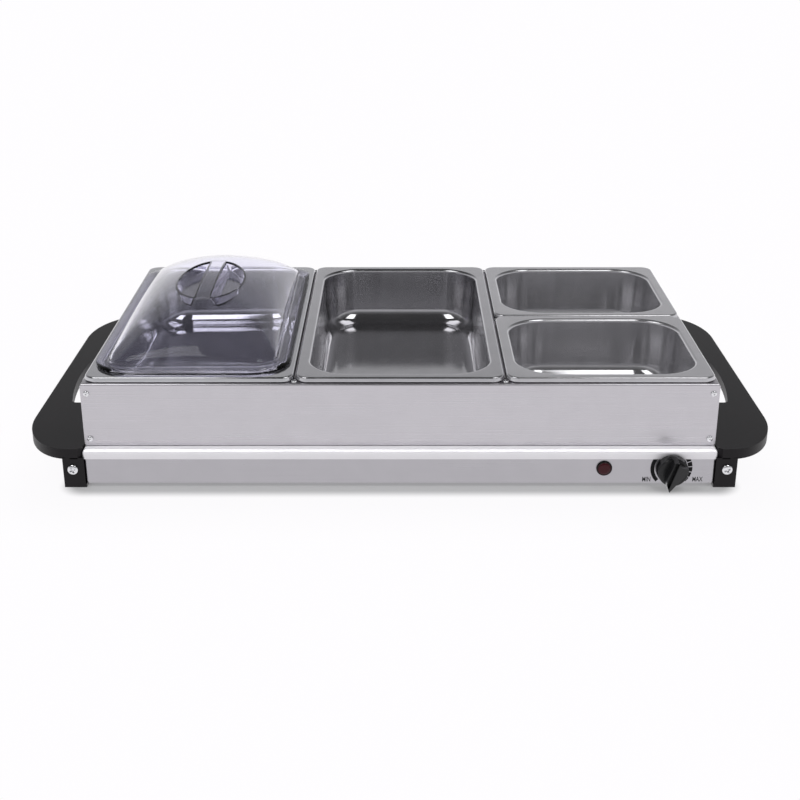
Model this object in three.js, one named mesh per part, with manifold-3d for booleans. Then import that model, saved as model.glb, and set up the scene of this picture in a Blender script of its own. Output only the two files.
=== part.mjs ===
// Buffet server: a low warming base with a handle at each side, a riveted frame that stands
// on it, four food pans that hang in the frame by their rims, and a clear lid.
// Millimetres, +X right, +Y back, +Z up. The origin is on the table, under the middle.
import * as THREE from 'three';
import { mergeVertices } from 'three/addons/utils/BufferGeometryUtils.js';
import Module from 'manifold-3d';

const wasm = await Module();
wasm.setup();

const QUARTER = Math.PI / 2;

// Clearances
const seatGap = 0.3; // between pieces that rest on or lie against each other
const turnGap = 0.3; // round the turning shaft
const overrun = 2; // how far a cutting tool runs past the face it cuts

// Facets of round work
const cornerSteps = 5; // a quarter round in plan
const rodFacets = 16;
const holeFacets = 8; // screw and rivet holes
const screwFacets = 16;
const rivetFacets = 8;
const bendFacets = 3; // a quarter bend of the frame's channels and of the plate's edge
const smallBendFacets = 2; // a quarter bend at the pans' lip and throat
const hemFacets = 3; // the pans' rolled hem
const floorBendFacets = 4; // the bend round the pans' floor
const handleFacets = 8; // each curve of the handle's outline
const handleEdgeFacets = 2;
const ventFacets = 4;
const knobFacets = 32;
const lensFacets = 20;

// Food pans, on the standard catering grid: two of a third size, two of a sixth
const panWidth = 176;
const panLength = 325;
const panSpacing = 1;
const panDepth = 55;
const panFloorClearance = 5.6; // under the pans, above the warming plate
const panSheet = 0.7;
const panLip = 4.4;
const panHemRadius = 1;
const panLipBend = 1.6;
const panRimWidth = 11;
const panRimCorner = 11;
const panThroatBend = 3;
const panWallLean = THREE.MathUtils.degToRad(4);
const panFloorBend = 15;
const panMouthCorner = 30;
const smallPanMouthCorner = 25;

// Pan frame: folded channels riveted at the corners, bars under the pan rims
const frameSideMargin = 2; // frame beyond the pans at each side
const frameEndMargin = 2.4; // frame beyond the pans at front and back
const frameSheet = 0.8;
const frameBend = 1.6;
const flangeRelief = 2; // flange's edge to the pans' throats
const frameFootFlange = 10;
const cornerTab = 10;
const cornerRivetInset = 5;
const cornerRivetDrop = 8.7;
const cornerRivetRise = 6.8;
const rivetShank = 1.6;
const rivetHead = 2.4;
const rivetHeadHeight = 1;
const rivetDomeShares = [[1, 0.3], [0.7, 0.85]]; // of the head's radius and height
const rivetTail = 1.2;
const rivetTailRadius = 2.3;
const barWidth = 16;
const barDepth = 8;
const barJoggle = 3; // length of the step down to the tongue
const barRivetInset = 5.1; // from the frame's outer face
const crossTongue = 8; // of the cross bar, under the divider bar and the side flange
const crossRivetShift = 3; // rivet of the cross bar, right of the divider bar's middle

// Warming base
const baseSideMargin = 1; // base beyond the frame at each side
const baseLedge = 9.1; // base beyond the frame at front and back
const baseClearance = 3.3; // underside above the table
const baseHeight = 30.3;
const coverSheet = 0.8;
const coverBend = 2;
const coverCorner = 2;
const coverInnerCorner = 1;
const skirtDrop = 7.1;
const housingInset = 1.1; // housing wall behind the skirt's face
const housingSheet = 0.8;
const housingCorner = 1.8;
const housingInnerCorner = 1;
const housingBend = 1.2; // at the fold of its top flange
const housingTopFlange = 8;
const housingFootFlange = 14;
const bottomSheet = 0.8;
const bottomMargin = 1; // bottom plate inside the housing wall
const bottomCorner = 2;
const bottomScrewEnd = 62; // screw from the housing's side wall
const ventLength = 46;
const ventWidth = 5;
const ventPitch = 14;
const ventCount = 5;
const ventGroupX = 120;

// Handles and what holds them
const handleReach = 56;
const handleOverhang = 1; // handle beyond the base at front and back
const handleThick = 9.2;
const handleRise = 1.8; // top face above the warming plate
const handleCornerReachShare = 0.81; // of the reach
const handleCornerLengthShare = 0.2; // of the length
const handleChamfer = 3.5;
const handleEdge = 1;
const handleWall = 2.6;
const handleRib = 1.8;
const handleRibCount = 6;
const slotLength = 143;
const slotReachShare = 0.577; // of the reach
const slotBow = 7;
const slotCorner = 5;
const legWidth = 16.7;
const legDepth = 25;
const legWall = 3;
const footHook = 6;
const bracketSheet = 0.8;
const bracketHeight = 14;
const screwShank = 2;
const screwLength = 9;
const screwHead = 4.5;
const screwHeadHeight = 2.4;
const screwDomeShares = [[1, 0.3], [0.8, 0.8], [0.4, 1]]; // of the head's radius and height
const screwSlotLength = 4.6;
const screwSlotWidth = 1;
const screwSlotDepth = 1.2;
const handleScrewRise = 1.8; // above the middle of the base's face

// Heating parts under the plate
const elementRadius = 3.25;
const elementPasses = 4;
const elementSideMargin = 61; // from the housing to the ends of the straight runs
const elementEndMargin = 79; // from the housing's front and back to the outer passes
const elementPin = 1.6;
const elementPinLength = 12;
const elementFacets = 8;
const elementBendSteps = 8;
const clampSheet = 0.8;
const clampWidth = 12;
const clampFoot = 9;
const clampMargin = 4;
const clampSpread = 120; // from the middle
const shieldSheet = 0.6;
const shieldDrop = 15; // top of the shield below the plate
const shieldFoot = 8;
const shieldLeftMargin = 21; // from the housing
const shieldRightMargin = 78;
const shieldFrontMargin = 57;
const shieldBackMargin = 37;

// Controls on the front face
const controlInset = 38; // knob axis from the base's right side
const controlRise = 2.1; // above the middle of the base's face
const lampSpacing = 57; // lamp left of the knob
const knobRadius = 13.4;
const knobTopRadius = 12.8;
const knobEdge = 1.6;
const knobEdgeSteps = 3;
const knobThick = 8;
const knobStandoff = 1.2; // knob in front of the skirt
const knobHub = 5.5;
const knobBoreDepth = 10;
const gripHeight = 9;
const gripFootHalf = 8;
const gripTopHalf = 5.8;
const gripTipFoot = 14.4;
const gripTipTop = 13.2;
const gripTailFoot = 11.6;
const gripTailTop = 9.8;
const gripTaperShare = 0.45; // of the tip length, where the sides turn to the point
const gripGroove = 0.7;
const knobRestTurn = THREE.MathUtils.degToRad(18); // pointer past straight down
const shaftRadius = 3;
const shaftFlat = 0.8;
const shaftInside = 8;
const bushingRadius = 4.6;
const bushingProud = 1.6;
const thermostatWidth = 28;
const thermostatHeight = 18;
const thermostatPlate = 1.2;
const thermostatStack = 18;
const stackRadius = 5.2;
const stackShift = 9; // stack right of the shaft
const leafThick = 0.9;
const leafWidth = 8;
const leafGap = 3.4;
const tabLength = 9;
const tabWidth = 3;
const lensRadius = 6.7;
const lensDome = 1.5;
const lensFlange = 1.3;
const lensBarrel = 5.2;
const lensWall = 1;
const lensDepth = 13;
const lampRadius = 2.4;
const lampLength = 11;
const lampCollar = 3;
const clipRadius = 8.4;
const clipThick = 0.8;

// Mains side at the back
const inletInset = 38; // inlet and terminals from the base's right side
const terminalWidth = 24;
const terminalLength = 18;
const terminalHeight = 13;
const terminalPoles = 3;
const terminalWell = 2.4;
const terminalBack = 42; // from the rear wall
const glandFlange = 7.6;
const glandFlangeThick = 2.2;
const glandBarrel = 5.6;
const glandCollar = 6.4;
const glandCollarLength = 3;
const glandBore = 3.6;
const leadRadius = 1.2;
const leadInsert = 3; // length of a wire end in the terminal block
const leadHeight = 10;
const leadSide = 18; // from the housing's side wall
const leadSteps = 16;
const leadFacets = 3;

// Lid
const lidSideMargin = 4.5; // pan's edge beyond the lid's
const lidEndMargin = 7;
const lidCorner = 32;
const lidThick = 2;
const lidRim = 11.3;
const lidRimEdge = 0.7;
const lidFoot = 2.4; // upright foot of the dome above the rim
const lidDome = 33.2;
const lidArchPower = 1.8; // roundness of the dome from side to side
const lidEndPower = 2.5; // from front to back, boxier
const lidGripWidth = 64;
const lidGripLength = 120;
const lidBar = 11.5;
const pocketDepth = 12;
const pocketDraft = 4;
const pocketFloorBend = 3;
const pocketSteps = 12;
const lidRingCount = 8;
const lidSideParts = [10, 4]; // pieces of the long and of the short side
const lidCrownShare = 0.04; // size of the innermost ring against the foot's

// Sizes that follow from the ones above
const smallPanLength = (panLength - panSpacing) / 2;
const deckWidth = 3 * panWidth + 2 * panSpacing;
const frameWidth = deckWidth + 2 * frameSideMargin;
const frameLength = panLength + 2 * frameEndMargin;
const baseWidth = frameWidth + 2 * baseSideMargin;
const baseLength = frameLength + 2 * baseLedge;
const handleLength = baseLength + 2 * handleOverhang;
const baseTop = baseClearance + baseHeight;
const frameBottom = baseTop + seatGap;
const frameHeight = panFloorClearance + panDepth + panSheet - panLip - 2 * seatGap;
const frameTopFlange = frameSideMargin + panRimWidth - flangeRelief;
const frameTop = frameBottom + frameHeight;
const panTop = frameTop + seatGap + panLip;
const coverUnder = baseTop - coverSheet;
const housingWidth = baseWidth - 2 * housingInset;
const housingLength = baseLength - 2 * housingInset;
const housingFront = -housingLength / 2;
const faceMiddle = (baseClearance + baseTop - skirtDrop) / 2;
const controlHeight = faceMiddle + controlRise;
const handleScrewHeight = faceMiddle + handleScrewRise;
const elementRun = housingWidth - 2 * elementSideMargin;
const elementBend = (housingLength / 2 - elementEndMargin) / (elementPasses - 1);
const bottomPlateTop = baseClearance + housingSheet + seatGap + bottomSheet;
const controlX = baseWidth / 2 - controlInset;
const inletX = baseWidth / 2 - inletInset;
const footHeight = baseClearance - seatGap;
const handleNear = baseWidth / 2 + seatGap;
const handleTop = baseTop + handleRise;
const handleUnder = handleTop - handleThick;
const handleScrewX = handleNear + legWidth / 2;
const lidWidth = panWidth - 2 * lidSideMargin;
const lidLength = panLength - 2 * lidEndMargin;
const knobBack = -baseLength / 2 - knobStandoff;
const knobFace = knobBack - knobThick;
const knobFront = knobFace - gripHeight;

// Joins rings of equal point count into one closed body. Rings run anticlockwise seen from
// the side that the last ring faces. An open loft gets a flat cap at each end.
function loft(rings, closed = false) {
  const count = rings[0].length;
  const index = [];
  const bands = closed ? rings.length : rings.length - 1;
  for (let band = 0; band < bands; band += 1) {
    const low = band * count;
    const high = ((band + 1) % rings.length) * count;
    for (let i = 0; i < count; i += 1) {
      const j = (i + 1) % count;
      index.push(low + i, low + j, high + j, low + i, high + j, high + i);
    }
  }
  if (!closed) {
    const last = (rings.length - 1) * count;
    for (let i = 1; i < count - 1; i += 1) {
      index.push(0, i + 1, i, last, last + i, last + i + 1);
    }
  }
  const positions = rings.flat().flatMap((point) => [point.x, point.y, point.z]);
  const geometry = new THREE.BufferGeometry();
  geometry.setAttribute('position', new THREE.Float32BufferAttribute(positions, 3));
  geometry.setIndex(index);
  return geometry;
}

// A rounded rectangle seen from above, as one ring at one height. Parts are how many pieces
// the sides along Y and the sides along X are split into.
function roundedRing(width, length, corner, height, steps = cornerSteps, parts = [1, 1]) {
  const corners = [[1, -1], [1, 1], [-1, 1], [-1, -1]].map(([sideX, sideY], quarter) => {
    const centreX = sideX * (width / 2 - corner);
    const centreY = sideY * (length / 2 - corner);
    return Array.from({ length: steps + 1 }, (_, i) => {
      const angle = (quarter - 1 + i / steps) * QUARTER;
      const x = centreX + corner * Math.cos(angle);
      const y = centreY + corner * Math.sin(angle);
      return new THREE.Vector3(x, y, height);
    });
  });
  return corners.flatMap((arc, quarter) => {
    const next = corners[(quarter + 1) % 4][0];
    const count = parts[quarter % 2];
    const side = Array.from({ length: count - 1 }, (_, i) =>
      arc[steps].clone().lerp(next, (i + 1) / count));
    return [...arc, ...side];
  });
}

function roundedShape(width, length, corner) {
  const points = roundedRing(width, length, corner, 0).map(({ x, y }) => new THREE.Vector2(x, y));
  return new THREE.Shape(points);
}

// Extrusions: the shape's own axes become the named world axes.
function alongZ(shape, low, high, options = {}) {
  const settings = { depth: high - low, bevelEnabled: false, ...options };
  return new THREE.ExtrudeGeometry(shape, settings).translate(0, 0, low);
}

// The shape is drawn in Y and Z.
function alongX(shape, low, high, options = {}) {
  const turn = new THREE.Matrix4().makeBasis(
    new THREE.Vector3(0, 1, 0),
    new THREE.Vector3(0, 0, 1),
    new THREE.Vector3(1, 0, 0),
  );
  return alongZ(shape, low, high, options).applyMatrix4(turn);
}

// The shape is drawn in X and Z.
function alongY(shape, low, high, options = {}) {
  const turn = new THREE.Matrix4().makeBasis(
    new THREE.Vector3(1, 0, 0),
    new THREE.Vector3(0, 0, 1),
    new THREE.Vector3(0, -1, 0),
  );
  return alongZ(shape, -high, -low, options).applyMatrix4(turn);
}

function polygon(points) {
  return new THREE.Shape(points.map(([x, y]) => new THREE.Vector2(x, y)));
}

function block([x0, x1], [y0, y1], [z0, z1]) {
  const geometry = new THREE.BoxGeometry(x1 - x0, y1 - y0, z1 - z0);
  return geometry.translate((x0 + x1) / 2, (y0 + y1) / 2, (z0 + z1) / 2);
}

// A round bar between two heights, and the same along Y between two depths.
function rodZ(radius, x, y, low, high, facets = rodFacets) {
  const geometry = new THREE.CylinderGeometry(radius, radius, high - low, facets);
  return geometry.rotateX(QUARTER).translate(x, y, (low + high) / 2);
}

function rodY(radius, x, z, low, high, facets = rodFacets) {
  const geometry = new THREE.CylinderGeometry(radius, radius, high - low, facets);
  return geometry.translate(x, (low + high) / 2, z);
}

// A revolved piece; the outline is radius and height along Y, from axis to axis or closed.
function revolve(outline, facets) {
  return new THREE.LatheGeometry(outline.map(([r, y]) => new THREE.Vector2(r, y)), facets);
}

function solid(geometry) {
  const bare = geometry.clone();
  bare.deleteAttribute('normal');
  bare.deleteAttribute('uv');
  const merged = mergeVertices(bare);
  const mesh = new wasm.Mesh({
    numProp: 3,
    vertProperties: new Float32Array(merged.attributes.position.array),
    triVerts: new Uint32Array(merged.index.array),
  });
  return new wasm.Manifold(mesh);
}

function surface(body) {
  const mesh = body.getMesh();
  const geometry = new THREE.BufferGeometry();
  geometry.setAttribute('position', new THREE.BufferAttribute(new Float32Array(mesh.vertProperties), 3));
  geometry.setIndex(new THREE.BufferAttribute(new Uint32Array(mesh.triVerts), 1));
  return geometry;
}

function join(...geometries) {
  return surface(geometries.map(solid).reduce((whole, next) => whole.add(next)));
}

function cut(geometry, ...tools) {
  return surface(tools.map(solid).reduce((whole, tool) => whole.subtract(tool), solid(geometry)));
}

// Points of an arc in a section, each with the way that the sheet's face looks there.
// A hollow arc looks towards its centre.
function bend(centreInset, centreHeight, radius, from, to, steps, hollow = false) {
  const side = hollow ? -1 : 1;
  return Array.from({ length: steps + 1 }, (_, i) => {
    const facing = from + ((to - from) * i) / steps;
    const inset = centreInset + side * radius * Math.cos(facing);
    const height = centreHeight + side * radius * Math.sin(facing);
    return { inset, height, facing };
  });
}

// Pressed sheet from a section: faces are the stations of the upper side from the edge
// inwards, edge holds extra stations round a hem, and cornerAt gives the corner in plan.
function pressedSheet(width, length, sheet, faces, edge, cornerAt) {
  const upper = faces.map((face) => ({ ...face, corner: cornerAt(face.inset) }));
  const under = upper.map(({ inset, height, facing, corner }) => ({
    inset: inset - sheet * Math.cos(facing),
    height: height - sheet * Math.sin(facing),
    corner: corner + sheet * Math.cos(facing),
  }));
  const hem = edge.map((station) => ({ ...station, corner: cornerAt(station.inset) }));
  const stations = [...under.reverse(), ...hem, ...upper];
  return loft(stations.map(({ inset, height, corner }) =>
    roundedRing(width - 2 * inset, length - 2 * inset, corner, height)));
}

// Food pan with its rim's top at height zero: rolled hem, lip, flat rim, throat, leaning
// wall and a deep floor bend. The corner widens from the rim's to the mouth's.
function foodPan(length, mouthCorner) {
  const cornerAt = (inset) => (inset < panRimWidth
    ? THREE.MathUtils.lerp(panRimCorner, mouthCorner, inset / panRimWidth)
    : mouthCorner + panRimWidth - inset);
  const lipFace = panHemRadius / 2;
  const hemHeight = panHemRadius - panLip;
  const hem = bend(
    panHemRadius, hemHeight, panHemRadius, 3 * QUARTER, (4 / 3) * QUARTER, hemFacets);
  const hemInside = { inset: lipFace + panSheet, height: hemHeight - panHemRadius / 2 };
  const throatCentre = panRimWidth - panThroatBend;
  const wallTop = throatCentre + panThroatBend * Math.cos(panWallLean);
  const wallTopHeight = panThroatBend * (Math.sin(panWallLean) - 1);
  const wallFootHeight = panFloorBend * (1 - Math.sin(panWallLean)) - panDepth;
  const wallFoot = wallTop + (wallTopHeight - wallFootHeight) * Math.tan(panWallLean);
  const floorCentre = wallFoot + panFloorBend * Math.cos(panWallLean);
  const faces = [
    ...bend(lipFace + panLipBend, -panLipBend, panLipBend, 2 * QUARTER, QUARTER, smallBendFacets),
    ...bend(throatCentre, -panThroatBend, panThroatBend, QUARTER, panWallLean, smallBendFacets),
    ...bend(
      floorCentre, panFloorBend - panDepth, panFloorBend, panWallLean, QUARTER, floorBendFacets, true),
  ];
  return pressedSheet(panWidth, length, panSheet, faces, [hemInside, ...hem], cornerAt);
}

// A folded channel section: upright wall with a flange at top and bottom. Drawn with the
// wall's outer face on zero, the flanges towards positive, from low to high.
function channelShape(low, high, topFlange, footFlange, sheet, outerBend) {
  const innerBend = outerBend - sheet;
  const shape = new THREE.Shape();
  shape.moveTo(footFlange, low);
  shape.lineTo(footFlange, low + sheet);
  shape.lineTo(outerBend, low + sheet);
  shape.absarc(outerBend, low + outerBend, innerBend, -QUARTER, -2 * QUARTER, true);
  shape.lineTo(sheet, high - outerBend);
  shape.absarc(outerBend, high - outerBend, innerBend, 2 * QUARTER, QUARTER, true);
  shape.lineTo(topFlange, high - sheet);
  shape.lineTo(topFlange, high);
  shape.lineTo(outerBend, high);
  shape.absarc(outerBend, high - outerBend, outerBend, QUARTER, 2 * QUARTER, false);
  shape.lineTo(0, low + outerBend);
  shape.absarc(outerBend, low + outerBend, outerBend, 2 * QUARTER, 3 * QUARTER, false);
  shape.closePath();
  return shape;
}

const frameChannel = channelShape(
  frameBottom, frameTop, frameTopFlange, frameFootFlange, frameSheet, frameBend);
const channelDetail = { curveSegments: bendFacets };
const cornerRivetHeights = [frameBottom + cornerRivetRise, frameTop - cornerRivetDrop];
const cornerRivetX = frameWidth / 2 - cornerRivetInset;
const columnGapX = (panWidth + panSpacing) / 2;
const barRivetY = frameLength / 2 - barRivetInset;
const flangeEdgeY = frameLength / 2 - frameTopFlange;
const flangeEdgeX = frameWidth / 2 - frameTopFlange;

// Holes for the frame's rivets, through a panel's face and through the sheets at its top.
function rivetHoleY(x, face, height) {
  return rodY(rivetShank + seatGap, x, height, face - overrun, face + overrun, holeFacets);
}

function rivetHoleZ(x, y) {
  return rodZ(rivetShank + seatGap, x, y, frameTop - overrun, frameTop + overrun, holeFacets);
}

// Front or back panel, made as the front one: full-width wall, flanges between the side
// walls, holes for the corner rivets and for the rivets of the long bars.
function endPanel() {
  const outer = -frameLength / 2;
  const inside = frameWidth / 2 - frameSheet - seatGap;
  const channel = alongX(frameChannel, -inside, inside, channelDetail).translate(0, outer, 0);
  const wall = block(
    [-frameWidth / 2, frameWidth / 2], [outer, outer + frameSheet],
    [frameBottom + frameBend, frameTop - frameBend]);
  const holes = [];
  for (const side of [-1, 1]) {
    for (const height of cornerRivetHeights) {
      holes.push(rivetHoleY(side * cornerRivetX, outer, height));
    }
    holes.push(rivetHoleZ(side * columnGapX, -barRivetY));
  }
  return cut(join(channel, wall), ...holes);
}

// Side panel, made as the right one: wall between the end panels, shorter flanges, and a
// tab at each end that the corner rivets pass through.
function sidePanel(withBarRivet) {
  const outer = frameWidth / 2;
  const wallEnd = frameLength / 2 - frameSheet - seatGap;
  const flangeEnd = frameLength / 2 - Math.max(frameTopFlange, frameFootFlange) - seatGap;
  const channel = alongY(frameChannel, -flangeEnd, flangeEnd, channelDetail)
    .rotateZ(2 * QUARTER)
    .translate(outer, 0, 0);
  const wall = block(
    [outer - frameSheet, outer], [-wallEnd, wallEnd],
    [frameBottom + frameBend, frameTop - frameBend]);
  const pieces = [channel, wall];
  const holes = [];
  for (const end of [-1, 1]) {
    const near = end * wallEnd;
    const far = end * (wallEnd - frameSheet);
    pieces.push(block(
      [outer - cornerTab, outer], [Math.min(near, far), Math.max(near, far)],
      [frameBottom + frameBend, frameTop - frameBend]));
    for (const height of cornerRivetHeights) {
      holes.push(rivetHoleY(cornerRivetX, near, height));
    }
  }
  if (withBarRivet) {
    holes.push(rivetHoleZ(frameWidth / 2 - barRivetInset, 0));
  }
  return cut(join(...pieces), ...holes);
}

// A bar along Y: an upside-down channel whose top lies level with the frame's flanges, with
// a stepped and drilled tongue at each end that lies under them.
function stepBar(low, high, tongue, rivets) {
  const tongueTop = frameTop - frameSheet - seatGap;
  const half = barWidth / 2;
  const channel = polygon([
    [-half, frameTop - barDepth], [frameSheet - half, frameTop - barDepth],
    [frameSheet - half, frameTop - frameSheet], [half - frameSheet, frameTop - frameSheet],
    [half - frameSheet, frameTop - barDepth], [half, frameTop - barDepth],
    [half, frameTop], [-half, frameTop],
  ]);
  const pieces = [alongY(channel, low + barJoggle, high - barJoggle)];
  for (const [end, side] of [[low, -1], [high, 1]]) {
    const root = end - 2 * side * barJoggle;
    const step = end - side * barJoggle;
    const strip = polygon([
      [root, frameTop], [step, frameTop], [end, tongueTop], [end + side * tongue, tongueTop],
      [end + side * tongue, tongueTop - frameSheet], [end, tongueTop - frameSheet],
      [step, frameTop - frameSheet], [root, frameTop - frameSheet],
    ]);
    pieces.push(alongX(strip, -half, half));
  }
  return cut(join(...pieces), ...rivets.map((y) => rivetHoleZ(0, y)));
}

// A blind rivet through two sheets, its head's seat at zero and its head towards +Y.
function rivet() {
  const tail = -2 * frameSheet - 3 * seatGap;
  return revolve([
    [0, tail - rivetTail], [rivetShank, tail - rivetTail], [rivetTailRadius, tail - rivetTail / 2],
    [rivetTailRadius, tail], [rivetShank, tail], [rivetShank, 0], [rivetHead, 0],
    ...rivetDomeShares.map(([radius, height]) => [rivetHead * radius, rivetHeadHeight * height]),
    [0, rivetHeadHeight],
  ], rivetFacets);
}

// A screw with its head's seat at zero and its head towards +Y, cross recess cut in.
function crossScrew() {
  const chamfer = screwShank / 2;
  const body = revolve([
    [0, -screwLength], [screwShank - chamfer, -screwLength], [screwShank, chamfer - screwLength],
    [screwShank, 0], [screwHead, 0],
    ...screwDomeShares.map(([radius, height]) => [screwHead * radius, screwHeadHeight * height]),
    [0, screwHeadHeight],
  ], screwFacets);
  const arm = screwSlotLength / 2;
  const slot = screwSlotWidth / 2;
  const deep = [screwHeadHeight - screwSlotDepth, screwHeadHeight + overrun];
  return cut(body, block([-arm, arm], deep, [-slot, slot]), block([-slot, slot], deep, [-arm, arm]));
}

// The warming plate: flat top, rounded edge, skirt all round.
function baseCover() {
  const skirt = { inset: 0, height: -skirtDrop, facing: 2 * QUARTER };
  const faces = [skirt, ...bend(coverBend, -coverBend, coverBend, 2 * QUARTER, QUARTER, bendFacets)];
  const cornerAt = (inset) => Math.max(coverCorner - inset, coverInnerCorner);
  return pressedSheet(baseWidth, baseLength, coverSheet, faces, [], cornerAt).translate(0, 0, baseTop);
}

const bottomScrewX = housingWidth / 2 - bottomScrewEnd;
const bottomScrewY = housingLength / 2 - housingFootFlange / 2 - housingSheet;
const lampX = controlX - lampSpacing;

// The folded band under the plate, with the holes of controls, inlet and bottom screws.
function baseHousing() {
  const top = coverUnder - seatGap;
  const foot = baseClearance;
  const section = [
    [0, foot], [0, top - housingBend], [housingBend, top], [housingTopFlange, top],
    [housingTopFlange, top - housingSheet], [housingBend, top - housingSheet],
    [housingSheet, top - housingBend], [housingSheet, foot + housingSheet],
    [housingFootFlange, foot + housingSheet], [housingFootFlange, foot],
  ];
  const rings = section.map(([inset, height]) => roundedRing(
    housingWidth - 2 * inset, housingLength - 2 * inset,
    Math.max(housingCorner - inset, housingInnerCorner), height));
  const front = [housingFront - overrun, housingFront + overrun];
  const back = [-housingFront - overrun, -housingFront + overrun];
  const holes = [
    rodY(bushingRadius + seatGap, controlX, controlHeight, ...front),
    rodY(lensBarrel + seatGap, lampX, controlHeight, ...front),
    rodY(glandBarrel + seatGap, inletX, faceMiddle, ...back),
  ];
  for (const sideX of [-1, 1]) {
    for (const sideY of [-1, 1]) {
      const at = [sideX * bottomScrewX, sideY * bottomScrewY];
      holes.push(rodZ(screwShank + seatGap, ...at, foot - overrun, foot + overrun, holeFacets));
    }
  }
  return cut(loft(rings, true), ...holes);
}

// The bottom plate rests on the housing's foot flange and has two rows of vent slots.
function bottomPlate() {
  const margin = 2 * (housingSheet + bottomMargin);
  const shape = roundedShape(housingWidth - margin, housingLength - margin, bottomCorner);
  const slotHalf = ventLength / 2 - ventWidth / 2;
  const radius = ventWidth / 2;
  for (const side of [-1, 1]) {
    for (let i = 0; i < ventCount; i += 1) {
      const x = side * ventGroupX;
      const y = (i - (ventCount - 1) / 2) * ventPitch;
      const slot = new THREE.Path();
      slot.absarc(x + slotHalf, y, radius, -QUARTER, QUARTER, false);
      slot.absarc(x - slotHalf, y, radius, QUARTER, 3 * QUARTER, false);
      slot.closePath();
      shape.holes.push(slot);
    }
  }
  for (const sideX of [-1, 1]) {
    for (const sideY of [-1, 1]) {
      const hole = new THREE.Path();
      const at = [sideX * bottomScrewX, sideY * bottomScrewY];
      hole.absarc(...at, screwShank + seatGap, 0, 4 * QUARTER, false);
      shape.holes.push(hole);
    }
  }
  return alongZ(shape, bottomPlateTop - bottomSheet, bottomPlateTop, { curveSegments: ventFacets });
}

// The right handle's outline in plan, moved inwards by inset all round.
function handleOutline(inset) {
  const near = handleNear + inset;
  const end = handleLength / 2 - inset;
  const cornerX = baseWidth / 2 + handleReach * (1 - handleCornerReachShare);
  const cornerY = handleLength * (1 / 2 - handleCornerLengthShare);
  const reach = handleReach * handleCornerReachShare - inset;
  const length = handleLength * handleCornerLengthShare - inset;
  const slotEnd = slotLength / 2 + inset;
  const rail = baseWidth / 2 + handleReach * slotReachShare + inset;
  const round = slotCorner + inset;
  const chamfer = handleChamfer + inset * (Math.SQRT2 - 1);
  const shape = new THREE.Shape();
  shape.moveTo(near + chamfer, -end);
  shape.lineTo(cornerX, -end);
  shape.absellipse(cornerX, -cornerY, reach, length, -QUARTER, 0, false);
  shape.absellipse(cornerX, cornerY, reach, length, 0, QUARTER, false);
  shape.lineTo(near + chamfer, end);
  shape.lineTo(near, end - chamfer);
  shape.lineTo(near, slotEnd);
  shape.lineTo(rail - round, slotEnd);
  shape.quadraticCurveTo(rail, slotEnd, rail, slotEnd - round);
  shape.quadraticCurveTo(rail + 2 * slotBow, 0, rail, round - slotEnd);
  shape.quadraticCurveTo(rail, -slotEnd, rail - round, -slotEnd);
  shape.lineTo(near, -slotEnd);
  shape.lineTo(near, chamfer - end);
  shape.closePath();
  return shape;
}

// The right handle: a moulded plate, hollow and ribbed underneath, on two hollow legs whose
// feet hook under the base.
function handle() {
  const bevel = {
    bevelEnabled: true, bevelThickness: handleEdge, bevelSize: handleEdge,
    bevelOffset: -handleEdge, bevelSegments: handleEdgeFacets, curveSegments: handleFacets,
  };
  const thick = alongZ(handleOutline(0), handleUnder, handleTop - handleEdge, bevel);
  const far = baseWidth / 2 + handleReach;
  const end = handleLength / 2;
  const below = block(
    [handleNear - overrun, far + overrun], [-end - overrun, end + overrun],
    [handleUnder - 2 * overrun, handleUnder]);
  const plate = cut(thick, below);
  const ceiling = handleTop - handleWall;
  const hollow = alongZ(
    handleOutline(handleWall), handleUnder - overrun, ceiling, { curveSegments: handleFacets });
  const ribs = [];
  for (let i = 0; i < handleRibCount; i += 1) {
    const y = end * ((2 * i + 1) / handleRibCount - 1);
    ribs.push(block(
      [handleNear, far], [y - handleRib / 2, y + handleRib / 2], [handleUnder - overrun, ceiling]));
  }
  const legFar = handleNear + legWidth;
  const legs = [];
  for (const side of [-1, 1]) {
    const range = [side * end, side * (end - legDepth)].sort((a, b) => a - b);
    const within = [range[0] + legWall, range[1] - legWall];
    const room = block(
      [handleNear - overrun, legFar - legWall], within, [footHeight, handleTop]);
    const upper = block([handleNear, legFar], range, [handleUnder - overrun, ceiling]);
    ribs.push(cut(upper, room));
    const post = block([handleNear, legFar], range, [0, handleUnder]);
    const hook = block([handleNear - footHook, legFar], range, [0, footHeight]);
    const screwHole = rodY(
      screwShank + seatGap, handleScrewX, handleScrewHeight,
      side * end - legWall - overrun, side * end + legWall + overrun, holeFacets);
    legs.push(cut(join(post, hook), room, screwHole));
  }
  return join(cut(plate, cut(hollow, ...ribs)), ...legs);
}

// The right bracket: a strip against the housing's side with a tab in each handle leg.
function handleBracket() {
  const near = housingWidth / 2 + seatGap;
  const far = near + bracketSheet;
  const tip = handleNear + legWidth - legWall - seatGap;
  const end = handleLength / 2 - legWall - seatGap;
  const inner = end - bracketSheet;
  const strip = polygon([
    [near, -end], [tip, -end], [tip, -inner], [far, -inner],
    [far, inner], [tip, inner], [tip, end], [near, end],
  ]);
  const low = handleScrewHeight - bracketHeight / 2;
  const holes = [-1, 1].map((side) => rodY(
    screwShank + seatGap, handleScrewX, handleScrewHeight,
    side * end - overrun, side * end + overrun, holeFacets));
  return cut(alongZ(strip, low, low + bracketHeight), ...holes);
}

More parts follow.
